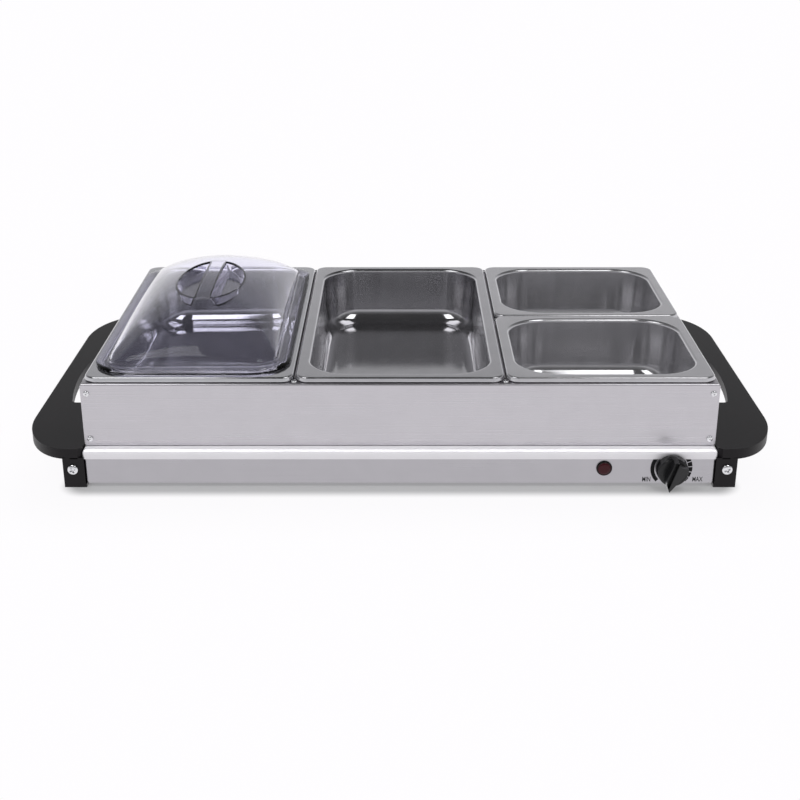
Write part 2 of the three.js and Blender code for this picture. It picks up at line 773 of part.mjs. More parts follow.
// The element: one sheathed tube in flat hairpins, with a terminal pin at each end.
function heatingElement() {
  const stations = [];
  const add = (x, y, heading, radius) => stations.push({ x, y, heading, radius });
  const runEnd = elementRun / 2;
  const firstY = -(elementPasses - 1) * elementBend;
  add(runEnd + elementPinLength, firstY, 2 * QUARTER, elementPin);
  add(runEnd, firstY, 2 * QUARTER, elementPin);
  add(runEnd, firstY, 2 * QUARTER, elementRadius);
  for (let pass = 0; pass < elementPasses - 1; pass += 1) {
    const side = pass % 2 === 0 ? -1 : 1;
    const centreY = firstY + (2 * pass + 1) * elementBend;
    for (let i = 0; i <= elementBendSteps; i += 1) {
      const angle = -QUARTER + (2 * QUARTER * i) / elementBendSteps;
      const x = side * (runEnd + elementBend * Math.cos(angle));
      const heading = side > 0 ? angle + QUARTER : QUARTER - angle;
      add(x, centreY + elementBend * Math.sin(angle), heading, elementRadius);
    }
  }
  const lastY = -firstY;
  add(runEnd, lastY, 0, elementRadius);
  add(runEnd, lastY, 0, elementPin);
  add(runEnd + elementPinLength, lastY, 0, elementPin);
  const height = coverUnder - seatGap - elementRadius;
  const rings = stations.map(({ x, y, heading, radius }) =>
    Array.from({ length: elementFacets }, (_, i) => {
      const angle = (4 * QUARTER * i) / elementFacets;
      const across = radius * Math.cos(angle);
      const up = radius * Math.sin(angle);
      return new THREE.Vector3(
        x - across * Math.sin(heading), y + across * Math.cos(heading), height + up);
    }));
  return loft(rings);
}

const elementUnder = coverUnder - seatGap - 2 * elementRadius;
const elementSpan = (elementPasses - 1) * elementBend + elementRadius;

// A strip under all passes of the element, its two feet welded to the plate.
function elementClamp() {
  const top = coverUnder - seatGap;
  const half = elementSpan + clampMargin;
  const low = elementUnder - seatGap - clampSheet;
  const strip = polygon([
    [-half - clampFoot, top - clampSheet], [-half, top - clampSheet], [-half, low], [half, low],
    [half, top - clampSheet], [half + clampFoot, top - clampSheet], [half + clampFoot, top],
    [half - clampSheet, top], [half - clampSheet, low + clampSheet],
    [clampSheet - half, low + clampSheet], [clampSheet - half, top], [-half - clampFoot, top],
  ]);
  return alongX(strip, -clampWidth / 2, clampWidth / 2);
}

// The shield: a flat sheet on two turned-down sides whose feet stand on the bottom plate.
function heatShield() {
  const top = coverUnder - shieldDrop;
  const foot = bottomPlateTop + seatGap;
  const sheet = shieldSheet;
  const left = shieldLeftMargin - housingWidth / 2;
  const right = housingWidth / 2 - shieldRightMargin;
  const section = polygon([
    [left, foot], [left + shieldFoot, foot], [left + shieldFoot, top - sheet],
    [right - shieldFoot, top - sheet], [right - shieldFoot, foot], [right, foot],
    [right, foot + sheet], [right - shieldFoot + sheet, foot + sheet],
    [right - shieldFoot + sheet, top], [left + shieldFoot - sheet, top],
    [left + shieldFoot - sheet, foot + sheet], [left, foot + sheet],
  ]);
  return alongY(section, housingFront + shieldFrontMargin, -housingFront - shieldBackMargin);
}

// The thermostat behind the control face: bushing, mounting plate, insulator stack, two
// leaf contacts and their terminal tabs.
const thermostatFront = housingFront + housingSheet + seatGap;
const thermostatBack = thermostatFront + thermostatPlate + thermostatStack;
const leafTabs = [-1, 1].map((side) => [
  controlX - stackShift + (side * leafGap) / 2, controlHeight + side * (leafWidth - tabWidth) / 2,
]);

function thermostat() {
  const plateBack = thermostatFront + thermostatPlate;
  const stackX = controlX + stackShift;
  const halfWide = thermostatWidth / 2;
  const halfHigh = thermostatHeight / 2;
  const pieces = [
    block([controlX - halfWide, controlX + halfWide], [thermostatFront, plateBack],
      [controlHeight - halfHigh, controlHeight + halfHigh]),
    rodY(bushingRadius, controlX, controlHeight, housingFront - bushingProud, plateBack + leafGap / 2),
    rodY(stackRadius, stackX, controlHeight, plateBack - thermostatPlate / 2, thermostatBack),
  ];
  leafTabs.forEach(([x, z], i) => {
    const leafY = plateBack + shaftInside + i * leafGap;
    pieces.push(
      block([x, stackX], [leafY, leafY + leafThick],
        [controlHeight - leafWidth / 2, controlHeight + leafWidth / 2]),
      block([x, x + leafThick], [leafY, thermostatBack + tabLength], [z - tabWidth / 2, z + tabWidth / 2]));
  });
  const bore = rodY(
    shaftRadius + turnGap, controlX, controlHeight, housingFront - bushingProud - overrun,
    plateBack + shaftInside);
  return cut(join(...pieces), bore);
}

// The shaft with its flat, from the leaf contacts into the knob.
const shaftFrontEnd = knobBack - knobBoreDepth + seatGap;
const shaftBackEnd = thermostatFront + thermostatPlate + shaftInside - seatGap;

function thermostatShaft() {
  const rod = rodY(shaftRadius, 0, 0, shaftFrontEnd, shaftBackEnd);
  const flat = block(
    [-shaftRadius - overrun, shaftRadius + overrun], [shaftFrontEnd - overrun, knobBack + overrun],
    [shaftRadius - shaftFlat, shaftRadius + overrun]);
  return cut(rod, flat);
}

// One outline of the grip, pointer down: a point below, straight sides, a blunt top.
function gripRing(half, tip, tail, depth) {
  const shoulder = tip * gripTaperShare;
  const outline = [
    [0, -tip], [half, -shoulder], [half, tail - half / 2], [half / 2, tail],
    [-half / 2, tail], [-half, tail - half / 2], [-half, -shoulder],
  ];
  return outline.map(([x, z]) => new THREE.Vector3(x, depth, z));
}

// The knob about its own axis: a turned skirt and hub with a pointed, grooved grip in front
// and a bore with a flat that fits the shaft.
function controlKnob() {
  const hubBack = housingFront - bushingProud - seatGap;
  const edge = Array.from({ length: knobEdgeSteps + 1 }, (_, i) => {
    const angle = (QUARTER * i) / knobEdgeSteps;
    const radius = knobTopRadius - knobEdge * (1 - Math.cos(angle));
    return [radius, knobFace + knobEdge * (1 - Math.sin(angle))];
  });
  const skirt = revolve([
    [0, hubBack], [knobHub, hubBack], [knobHub, knobBack], [knobRadius, knobBack], ...edge, [0, knobFace],
  ].reverse(), knobFacets);
  const grip = loft([
    gripRing(gripFootHalf, gripTipFoot, gripTailFoot, knobFace + knobEdge),
    gripRing(gripFootHalf, gripTipFoot, gripTailFoot, knobFace),
    gripRing(gripTopHalf, gripTipTop, gripTailTop, knobFront + gripGroove),
    gripRing(gripTopHalf - gripGroove, gripTipTop - gripGroove, gripTailTop - gripGroove, knobFront),
  ]);
  const bore = rodY(shaftRadius + seatGap, 0, 0, knobBack - knobBoreDepth, housingFront + overrun);
  const key = block(
    [-shaftRadius - overrun, shaftRadius + overrun], [knobBack - knobBoreDepth - overrun, knobBack],
    [shaftRadius - shaftFlat + seatGap, shaftRadius + overrun]);
  const groove = block(
    [-gripGroove / 2, gripGroove / 2], [knobFront - overrun, knobFront + gripGroove],
    [-gripTipTop - overrun, gripTailTop / 2]);
  return cut(join(skirt, grip), cut(bore, key), groove);
}

// Lens: domed cap, flange on the control face, hollow barrel behind. Front towards +Y.
function indicatorLens() {
  const inner = lensBarrel - lensWall;
  return revolve([
    [0, lensFlange - lensWall], [inner, lensFlange - lensWall], [inner, -lensDepth],
    [lensBarrel, -lensDepth], [lensBarrel, 0], [lensRadius, 0], [lensRadius, lensFlange / 2],
    [lensRadius - lensWall / 2, lensFlange], [lensBarrel, lensFlange],
    [lensBarrel * Math.SQRT1_2, lensFlange + lensDome * Math.SQRT1_2], [0, lensFlange + lensDome],
  ], lensFacets);
}

function indicatorLamp() {
  const collar = lensBarrel - lensWall - seatGap;
  const front = lensFlange - lensWall - seatGap;
  return revolve([
    [0, front - lampLength - lampCollar], [collar, front - lampLength - lampCollar],
    [collar, front - lampLength], [lampRadius, front - lampLength], [lampRadius, front - lampRadius],
    [lampRadius * Math.SQRT1_2, front - lampRadius * (1 - Math.SQRT1_2)], [0, front],
  ], rodFacets);
}

function indicatorClip() {
  const inner = lensBarrel + seatGap;
  const front = -housingSheet - 2 * seatGap;
  return revolve([
    [inner, front - clipThick], [clipRadius, front - clipThick], [clipRadius, front], [inner, front],
    [inner, front - clipThick],
  ], rodFacets);
}

// The terminal block stands on the bottom plate; screw wells above, wire holes through.
const terminalY = -housingFront - terminalBack;
const terminalLow = bottomPlateTop + seatGap;
const wireHeight = terminalLow + terminalHeight / 3;
const wireStep = terminalWidth / terminalPoles;

function terminalBlock() {
  const body = block(
    [inletX - terminalWidth / 2, inletX + terminalWidth / 2],
    [terminalY - terminalLength / 2, terminalY + terminalLength / 2],
    [terminalLow, terminalLow + terminalHeight]);
  const holes = [];
  for (const step of [-1, 0, 1]) {
    const x = inletX + step * wireStep;
    holes.push(rodZ(
      terminalWell, x, terminalY, wireHeight, terminalLow + terminalHeight + overrun, holeFacets));
    holes.push(rodY(
      leadRadius + seatGap, x, wireHeight, terminalY - terminalLength / 2 - overrun,
      terminalY + terminalLength / 2 + overrun, holeFacets));
  }
  return cut(body, ...holes);
}

// The inlet gland in the rear wall: outer flange, barrel, inner collar, open bore.
function cordGland() {
  const inside = -housingSheet - seatGap;
  return revolve([
    [glandBore, inside - glandCollarLength], [glandBarrel, inside - glandCollarLength],
    [glandCollar, inside], [glandBarrel, inside], [glandBarrel, seatGap], [glandFlange, seatGap],
    [glandFlange, glandFlangeThick / 2 + seatGap], [glandBarrel, glandFlangeThick + seatGap],
    [glandBore, glandFlangeThick + seatGap], [glandBore, inside - glandCollarLength],
  ], rodFacets);
}

// An inner wire along points of its own.
function lead(points) {
  const curve = new THREE.CatmullRomCurve3(points.map(([x, y, z]) => new THREE.Vector3(x, y, z)));
  const circle = new THREE.Shape().absarc(0, 0, leadRadius, 0, 4 * QUARTER, false);
  return new THREE.ExtrudeGeometry(circle, {
    steps: leadSteps,
    curveSegments: leadFacets,
    bevelEnabled: false,
    extrudePath: curve,
  });
}

const leadX = housingWidth / 2 - housingSheet - leadSide;
const pinX = elementRun / 2 + elementPinLength + seatGap;
const pinY = (elementPasses - 1) * elementBend;
const pinZ = coverUnder - seatGap - elementRadius;
const terminalFace = terminalY - terminalLength / 2;
const tabEndY = thermostatBack + tabLength + seatGap;

function supplyLead() {
  const [tabX, tabZ] = leafTabs[0];
  return lead([
    [inletX + wireStep, terminalFace + leadInsert, wireHeight],
    [inletX + wireStep, terminalFace - wireStep, wireHeight],
    [leadX, terminalFace / 2, leadHeight],
    [leadX, 0, leadHeight],
    [leadX, tabEndY / 2, leadHeight],
    [tabX + wireStep, tabEndY + 2 * wireStep, tabZ],
    [tabX + leafThick / 2, tabEndY, tabZ],
  ]);
}

function frontElementLead() {
  const [tabX, tabZ] = leafTabs[1];
  return lead([
    [pinX, -pinY, pinZ],
    [pinX + wireStep, -pinY, pinZ],
    [pinX + wireStep, -pinY - wireStep, pinZ - wireStep / 2],
    [tabX + leafThick / 2, tabEndY + wireStep, tabZ],
    [tabX + leafThick / 2, tabEndY, tabZ],
  ]);
}

function backElementLead() {
  return lead([
    [pinX, pinY, pinZ],
    [pinX + wireStep, pinY, pinZ],
    [inletX - wireStep, pinY - wireStep, (pinZ + wireHeight) / 2],
    [inletX - wireStep, terminalFace - wireStep, wireHeight],
    [inletX - wireStep, terminalFace + leadInsert, wireHeight],
  ]);
}

// Height of the dome above the top of its foot, as a share of its full height.
function domeShare(x, y, halfWidth, halfLength) {
  const across = Math.max(0, 1 - Math.abs(x / halfWidth) ** lidArchPower) ** (1 / lidArchPower);
  const along = Math.max(0, 1 - Math.abs(y / halfLength) ** lidEndPower) ** (1 / lidEndPower);
  return across * along;
}

// The dome's rings, from its foot up to the oval at its crown. Inset gives the inner skin.
function domeRings(inset, low) {
  const width = lidWidth - 2 * lidRim - 2 * inset;
  const length = lidLength - 2 * lidRim - 2 * inset;
  const corner = lidCorner - lidRim - inset;
  const outline = roundedRing(width, length, corner, 0, cornerSteps, lidSideParts);
  const rise = lidDome - inset;
  const rings = [];
  for (let step = 0; step <= lidRingCount; step += 1) {
    const share = THREE.MathUtils.lerp(lidCrownShare, 1, Math.cos((QUARTER * step) / lidRingCount));
    rings.push(outline.map(({ x, y }) => {
      const height = low + lidFoot + rise * domeShare(x * share, y * share, width / 2, length / 2);
      return new THREE.Vector3(x * share, y * share, height);
    }));
  }
  return [outline.map(({ x, y }) => new THREE.Vector3(x, y, low)), ...rings];
}

// One finger pocket of the lid's grip: a half oval beside the bar, with leaning walls.
// Grow makes the same pocket larger all round, for the skin that encloses it.
function fingerPocket(side, crown, grow) {
  const levels = [
    [-grow, crown + overrun], [-grow, crown],
    [pocketDraft - grow, crown - pocketDepth + pocketFloorBend - grow],
    [pocketDraft + pocketFloorBend - grow, crown - pocketDepth - grow],
  ];
  const rings = levels.map(([inset, height]) => {
    const reach = lidGripWidth / 2 - inset;
    const length = lidGripLength / 2 - inset;
    const straight = lidBar / 2 + inset;
    const widest = Math.acos(straight / reach);
    return Array.from({ length: pocketSteps + 1 }, (_, i) => {
      const angle = side * widest * (1 - (2 * i) / pocketSteps);
      return new THREE.Vector3(side * reach * Math.cos(angle), length * Math.sin(angle), height);
    }).reverse();
  });
  return loft(rings.reverse());
}

// The clear lid with its rim's seat at height zero.
function lidShell() {
  const rimTop = lidThick;
  const crown = rimTop + lidFoot + lidDome;
  const rim = (inset, height) => roundedRing(
    lidWidth - 2 * inset, lidLength - 2 * inset, lidCorner - inset, height, cornerSteps, lidSideParts);
  const outer = loft([
    rim(lidRimEdge, 0), rim(0, lidRimEdge), rim(0, rimTop - lidRimEdge), rim(lidRimEdge, rimTop),
    ...domeRings(0, rimTop),
  ]);
  const inner = loft([
    domeRings(lidThick, -overrun)[0], ...domeRings(lidThick, rimTop - lidThick).slice(1),
  ]);
  const sides = [-1, 1];
  const room = cut(inner, ...sides.map((side) => fingerPocket(side, crown, lidThick)));
  return cut(outer, room, ...sides.map((side) => fingerPocket(side, crown, 0)));
}

// Finishes
const finishes = {
  brushedSteel: { color: 0xbdbcc0, roughness: 0.38, metalness: 0.9 },
  pressedSteel: { color: 0x9a9aa0, roughness: 0.18, metalness: 0.95 },
  zincSteel: { color: 0xa7aaad, roughness: 0.5, metalness: 0.8 },
  brightSteel: { color: 0xd0d0d2, roughness: 0.25, metalness: 0.95 },
  sheath: { color: 0x5a5652, roughness: 0.6, metalness: 0.7 },
  blackPlastic: { color: 0x2a2a2c, roughness: 0.5, metalness: 0 },
  ceramic: { color: 0xd9d2c4, roughness: 0.7, metalness: 0 },
  whitePlastic: { color: 0xe6e4de, roughness: 0.5, metalness: 0 },
  redLens: { color: 0x4a1218, roughness: 0.15, metalness: 0 },
  glassBulb: { color: 0xe8b090, roughness: 0.1, metalness: 0 },
  leadSleeve: { color: 0xb8402c, roughness: 0.6, metalness: 0 },
  clearPlastic: { color: 0xc9c6dc, roughness: 0.06, metalness: 0 },
};

const server = new THREE.Group();

function addPiece(name, geometry, finish, parent = server) {
  const mesh = new THREE.Mesh(geometry, new THREE.MeshStandardMaterial(finishes[finish]));
  mesh.name = name;
  parent.add(mesh);
  return mesh;
}

// Base body
addPiece('base_cover', baseCover(), 'brushedSteel');
addPiece('base_housing', baseHousing(), 'brushedSteel');
addPiece('bottom_plate', bottomPlate(), 'zincSteel');
addPiece('heating_element', heatingElement(), 'sheath');
addPiece('heat_shield', heatShield(), 'zincSteel');
addPiece('thermostat', thermostat(), 'ceramic');
addPiece('terminal_block', terminalBlock(), 'whitePlastic');
addPiece('lead_supply', supplyLead(), 'leadSleeve');
addPiece('lead_element_front', frontElementLead(), 'leadSleeve');
addPiece('lead_element_back', backElementLead(), 'leadSleeve');
addPiece('element_clamp_left', elementClamp(), 'zincSteel').position.x = -clampSpread;
addPiece('element_clamp_right', elementClamp(), 'zincSteel').position.x = clampSpread;
addPiece('handle_right', handle(), 'blackPlastic');
addPiece('handle_left', handle(), 'blackPlastic').rotation.z = 2 * QUARTER;
addPiece('handle_bracket_right', handleBracket(), 'zincSteel');
addPiece('handle_bracket_left', handleBracket(), 'zincSteel').rotation.z = 2 * QUARTER;

const gland = addPiece('cord_gland', cordGland(), 'blackPlastic');
gland.position.set(inletX, housingLength / 2, faceMiddle);

const indicator = new THREE.Group();
indicator.position.set(lampX, housingFront - seatGap, controlHeight);
indicator.rotation.x = 2 * QUARTER;
server.add(indicator);
addPiece('indicator_lens', indicatorLens(), 'redLens', indicator);
addPiece('indicator_lamp', indicatorLamp(), 'glassBulb', indicator);
addPiece('indicator_clip', indicatorClip(), 'zincSteel', indicator);

for (const [end, sideY] of [['front', -1], ['back', 1]]) {
  for (const [hand, sideX] of [['left', -1], ['right', 1]]) {
    const holding = addPiece(`handle_screw_${end}_${hand}`, crossScrew(), 'brightSteel');
    holding.position.set(sideX * handleScrewX, sideY * (handleLength / 2 + seatGap), handleScrewHeight);
    holding.rotation.x = sideY < 0 ? 2 * QUARTER : 0;
    const closing = addPiece(`bottom_screw_${end}_${hand}`, crossScrew(), 'zincSteel');
    closing.position.set(sideX * bottomScrewX, sideY * bottomScrewY, baseClearance - seatGap);
    closing.rotation.x = -QUARTER;
  }
}

// Control body, turned to where the photographed pointer rests
const control = new THREE.Group();
control.position.set(controlX, 0, controlHeight);
control.rotation.y = knobRestTurn;
server.add(control);
addPiece('control_knob', controlKnob(), 'blackPlastic', control);
addPiece('thermostat_shaft', thermostatShaft(), 'brightSteel', control);

// Pan frame body
addPiece('frame_front_panel', endPanel(), 'brushedSteel');
addPiece('frame_back_panel', endPanel(), 'brushedSteel').rotation.z = 2 * QUARTER;
addPiece('frame_right_panel', sidePanel(true), 'brushedSteel');
addPiece('frame_left_panel', sidePanel(false), 'brushedSteel').rotation.z = 2 * QUARTER;

for (const [end, sideY] of [['front', -1], ['back', 1]]) {
  for (const [hand, sideX] of [['left', -1], ['right', 1]]) {
    for (const [level, height] of [['low', cornerRivetHeights[0]], ['high', cornerRivetHeights[1]]]) {
      const holding = addPiece(`frame_rivet_${end}_${hand}_${level}`, rivet(), 'brightSteel');
      holding.position.set(sideX * cornerRivetX, sideY * (frameLength / 2 + seatGap), height);
      holding.rotation.x = sideY < 0 ? 2 * QUARTER : 0;
    }
  }
}

// Bars under the pan rims: two from front to back, one across between the small pans
const barEnd = flangeEdgeY - seatGap;
const barTongue = frameTopFlange - frameBend - seatGap;
const longBar = () => stepBar(-barEnd, barEnd, barTongue, [-barRivetY, barRivetY]);
addPiece('divider_bar_left', longBar(), 'brushedSteel').position.x = -columnGapX;
const tongueUnder = frameTop - 2 * frameSheet - 2 * seatGap;
const tongueSlot = block(
  [0, barWidth], [-barWidth / 2 - seatGap, barWidth / 2 + seatGap],
  [tongueUnder, frameTop - frameSheet]);
const rightBar = cut(longBar(), tongueSlot, rivetHoleZ(crossRivetShift, 0));
addPiece('divider_bar_right', rightBar, 'brushedSteel').position.x = columnGapX;
const crossLow = columnGapX + barWidth / 2 + seatGap;
const crossRivetX = [columnGapX + crossRivetShift, frameWidth / 2 - barRivetInset];
const crossBar = stepBar(crossLow, flangeEdgeX - seatGap, crossTongue, crossRivetX);
addPiece('cross_bar', crossBar.rotateZ(-QUARTER), 'brushedSteel');

const barRivets = [
  ['bar_rivet_front_left', -columnGapX, -barRivetY],
  ['bar_rivet_front_right', columnGapX, -barRivetY],
  ['bar_rivet_back_left', -columnGapX, barRivetY],
  ['bar_rivet_back_right', columnGapX, barRivetY],
  ['bar_rivet_cross_left', crossRivetX[0], 0],
  ['bar_rivet_cross_right', crossRivetX[1], 0],
];
for (const [name, x, y] of barRivets) {
  const holding = addPiece(name, rivet(), 'brightSteel');
  holding.position.set(x, y, frameTop + seatGap);
  holding.rotation.x = QUARTER;
}

// Food pans, each by its rim
const sidePanX = panWidth + panSpacing;
const smallPanY = (smallPanLength + panSpacing) / 2;
const pans = [
  ['food_pan_left', panLength, panMouthCorner, -sidePanX, 0],
  ['food_pan_middle', panLength, panMouthCorner, 0, 0],
  ['food_pan_front', smallPanLength, smallPanMouthCorner, sidePanX, -smallPanY],
  ['food_pan_back', smallPanLength, smallPanMouthCorner, sidePanX, smallPanY],
];
for (const [name, length, corner, x, y] of pans) {
  addPiece(name, foodPan(length, corner), 'pressedSteel').position.set(x, y, panTop);
}

// Lid on the left pan
addPiece('lid', lidShell(), 'clearPlastic').position.set(-sidePanX, 0, panTop + seatGap);

// The middle of the whole object, knob to rear screws, lies over the origin
const frontReach = -knobFront;
const backReach = handleLength / 2 + seatGap + screwHeadHeight;
server.position.y = (frontReach - backReach) / 2;

export default server;
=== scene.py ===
"""Looks of the buffet server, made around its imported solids.

Pieces are drawn in millimetres in the solids' own drawing frame and end up in metres in the
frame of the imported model: +X right, +Y back, +Z up, the origin on the table.
"""

import functools
import logging
import math
from collections.abc import Callable, Iterable, Sequence
from dataclasses import dataclass
from enum import Enum

import bmesh
import bpy
from bmesh.types import BMEdge, BMesh, BMFace, BMVert
from mathutils import Matrix, Vector


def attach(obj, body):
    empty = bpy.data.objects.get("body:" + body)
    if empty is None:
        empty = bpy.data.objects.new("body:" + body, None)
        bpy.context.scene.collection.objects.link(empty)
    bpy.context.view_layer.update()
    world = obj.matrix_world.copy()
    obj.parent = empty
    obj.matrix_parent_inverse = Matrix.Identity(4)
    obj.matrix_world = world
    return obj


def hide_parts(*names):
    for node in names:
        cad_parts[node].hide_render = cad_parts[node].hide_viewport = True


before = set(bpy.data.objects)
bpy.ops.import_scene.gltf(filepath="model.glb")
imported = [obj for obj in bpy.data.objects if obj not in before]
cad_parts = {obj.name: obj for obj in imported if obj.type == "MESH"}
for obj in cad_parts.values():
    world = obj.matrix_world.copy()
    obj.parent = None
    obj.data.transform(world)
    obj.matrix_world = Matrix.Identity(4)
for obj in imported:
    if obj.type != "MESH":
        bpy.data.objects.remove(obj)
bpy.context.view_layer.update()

LOG = logging.getLogger("buffet_server")

MM = 0.001
DRAWING_SHIFT = 7.25  # the drawing frame's origin lies this far in front of the model's middle
MERGE = 0.002  # millimetres
TINY = 1e-9  # keeps a division from being one by zero
SEAT_GAP = 0.3  # millimetres between a moulding and the sheet that it sits on
NOISE_RANGE = (0.3, 0.7)  # the greys that a noise mostly stays between
EDGE_STEPS = 3  # faces across a rounded edge
UP = Vector((0, 0, 1))
FRONT = Vector((0, -1, 0))
BACK = Vector((0, 1, 0))
RIGHT = Vector((1, 0, 0))

PAN_PITCH = 177.0  # between the middles of neighbouring pan columns
SMALL_PAN_Y = 81.5
DIAL_X, DIAL_Z = 230.0, 17.0
CONTROL_FACE = -172.9
REAR_WALL = 172.9
ENDS = (("front", -1), ("back", 1))
HANDS = (("left", -1), ("right", 1))

Colour = tuple[float, float, float, float]
Section = list[tuple[float, float]]


class Body(Enum):
    """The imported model's bodies."""

    BASE = "base"
    CONTROL = "control"
    PAN_FRAME = "pan_frame"
    PAN_LEFT = "pan_left"
    PAN_MIDDLE = "pan_middle"
    PAN_FRONT = "pan_front"
    PAN_BACK = "pan_back"
    LID = "lid"


class Slot(Enum):
    """The record's material slots that the pieces made here take."""

    BRUSHED_STEEL = "brushed_steel"
    PRESSED_STEEL = "pressed_steel"
    ZINC_STEEL = "zinc_steel"
    BRIGHT_STEEL = "bright_steel"
    BLACK_PLASTIC = "black_plastic"
    RED_LENS = "red_lens"
    CLEAR_PLASTIC = "clear_plastic"


class Grain(Enum):
    """Way that a brushed or drawn surface runs: features per metre along X, Y and Z."""

    ALONG_X = (6.0, 900.0, 900.0)
    ALONG_Y = (900.0, 6.0, 900.0)
    ALONG_Z = (70.0, 70.0, 5.0)
    FINE = (1500.0, 1500.0, 1500.0)
    COARSE = (60.0, 60.0, 60.0)


class NodeBench:
    """A material's node tree with short calls that place and join nodes."""

    def __init__(self, name: str) -> None:
        """Starts a material with one surface shader.

        Args:
            name: Name of the material.
        """
        self.material = bpy.data.materials.new(name)
        self.material.use_nodes = True
        self.tree = self.material.node_tree
        self.tree.nodes.clear()
        self.output = self.add("ShaderNodeOutputMaterial")
        self.shader = self.add("ShaderNodeBsdfPrincipled")
        self.join(self.shader.outputs["BSDF"], self.output.inputs["Surface"])

    def add(self, kind: str, **values: object) -> bpy.types.Node:
        """Places a node.

        Args:
            kind: The node's type name.
            **values: Input values by name, with _ for a space.

        Returns:
            The new node.
        """
        node = self.tree.nodes.new(kind)
        for name, value in values.items():
            node.inputs[name.replace("_", " ")].default_value = value
        return node

    def join(self, source: bpy.types.NodeSocket, target: bpy.types.NodeSocket) -> None:
        """Links an output to an input."""
        self.tree.links.new(source, target)

    def reckon(
        self, operation: str, first: bpy.types.NodeSocket, second: bpy.types.NodeSocket
    ) -> bpy.types.NodeSocket:
        """Works out one value from two.

        Args:
            operation: Name of the sum, as Blender's Math node has it.
            first: The first value.
            second: The second value.

        Returns:
            The result.
        """
        node = self.add("ShaderNodeMath")
        node.operation = operation
        self.join(first, node.inputs[0])
        self.join(second, node.inputs[1])
        return node.outputs["Value"]

    def vector(
        self,
        operation: str,
        value: bpy.types.NodeSocket,
        operand: tuple[float, float, float] | None = None,
    ) -> bpy.types.NodeSocket:
        """Works out a vector from another, or its length.

        Args:
            operation: Name of the sum, as Blender's Vector Math node has it.
            value: The vector.
            operand: The second vector, if the sum has one.

        Returns:
            The result.
        """
        node = self.add("ShaderNodeVectorMath")
        node.operation = operation
        self.join(value, node.inputs[0])
        if operand:
            node.inputs[1].default_value = operand
        return node.outputs["Value" if operation == "LENGTH" else "Vector"]

    def lay_over(self, share: bpy.types.NodeSocket, other: bpy.types.NodeSocket) -> None:
        """Mixes another shader over the surface.

        Args:
            share: How much of the other shader shows.
            other: The other shader.
        """
        mix = self.add("ShaderNodeMixShader")
        self.join(share, mix.inputs["Fac"])
        self.join(self.shader.outputs["BSDF"], mix.inputs[1])
        self.join(other, mix.inputs[2])
        self.join(mix.outputs["Shader"], self.output.inputs["Surface"])

    def noise(
        self, stretch: tuple[float, float, float], detail: float = 3.0
    ) -> bpy.types.NodeSocket:
        """Places a noise on Object coordinates.

        Args:
            stretch: Features per metre along each axis.
            detail: Octaves of finer noise.

        Returns:
            The noise's grey value.
        """
        place = self.add("ShaderNodeTexCoord")
        mapping = self.add("ShaderNodeMapping", Scale=stretch)
        texture = self.add("ShaderNodeTexNoise", Scale=1.0, Detail=detail)
        self.join(place.outputs["Object"], mapping.inputs["Vector"])
        self.join(mapping.outputs["Vector"], texture.inputs["Vector"])
        return texture.outputs["Fac"]

    def spread(self, grey: bpy.types.NodeSocket, low: float, high: float) -> bpy.types.NodeSocket:
        """Maps a noise's usual range to another.

        Args:
            grey: The noise.
            low: Value for its dark places.
            high: Value for its pale places.

        Returns:
            The mapped value.
        """
        start, end = NOISE_RANGE
        node = self.add(
            "ShaderNodeMapRange", From_Min=start, From_Max=end, To_Min=low, To_Max=high)
        self.join(grey, node.inputs["Value"])
        return node.outputs["Result"]

    def shade(
        self, grey: bpy.types.NodeSocket, dark: Colour, pale: Colour
    ) -> bpy.types.NodeSocket:
        """Blends two colours by a noise.

        Args:
            grey: The noise.
            dark: Colour of its dark places.
            pale: Colour of its pale places.

        Returns:
            The blended colour.
        """
        node = self.add("ShaderNodeValToRGB")
        for stop, position, colour in zip(
                node.color_ramp.elements, NOISE_RANGE, (dark, pale)):
            stop.position = position
            stop.color = colour
        self.join(grey, node.inputs["Fac"])
        return node.outputs["Color"]

    def relief(self, height: bpy.types.NodeSocket, strength: float, depth: float) -> None:
        """Adds a bump in front of the shader's present normal.

        Args:
            height: Grey value that raises the surface.
            strength: Share of the bump that is used.
            depth: Real depth of the bump in millimetres.
        """
        bump = self.add("ShaderNodeBump", Strength=strength, Distance=depth * MM)
        self.join(height, bump.inputs["Height"])
        normal = self.shader.inputs["Normal"]
        if normal.is_linked:
            self.join(normal.links[0].from_socket, bump.inputs["Normal"])
        self.join(bump.outputs["Normal"], normal)


def tinted(colour: Colour, share: float) -> Colour:
    """A colour made darker or paler by a share."""
    return (colour[0] * share, colour[1] * share, colour[2] * share, colour[3])


@dataclass(frozen=True)
class Finish:
    """A surface: colour and gloss with a grain that varies both."""

    name: str
    colour: Colour
    roughness: float
    metallic: float = 0.0
    grain: Grain = Grain.FINE
    tone_change: float = 0.04
    gloss_change: float = 0.05
    relief: float = 0.02
    strength: float = 0.3
    specular: float = 0.5

    def bench(self) -> NodeBench:
        """Lays out the nodes that every finish has.

        Returns:
            The bench with the material's nodes.
        """
        bench = NodeBench(self.name)
        shader = bench.shader
        shader.inputs["Metallic"].default_value = self.metallic
        shader.inputs["Specular IOR Level"].default_value = self.specular
        grain = bench.noise(self.grain.value)
        cloud = bench.noise(Grain.COARSE.value, detail=2.0)
        pale = tinted(self.colour, 1 + self.tone_change)
        dark = tinted(self.colour, 1 - self.tone_change)
        bench.join(bench.shade(cloud, dark, pale), shader.inputs["Base Color"])
        gloss = bench.spread(
            grain, self.roughness - self.gloss_change, self.roughness + self.gloss_change)
        bench.join(gloss, shader.inputs["Roughness"])
        bench.relief(grain, self.strength, self.relief)
        return bench

    def material(self) -> bpy.types.Material:
        """Builds the material."""
        return self.bench().material


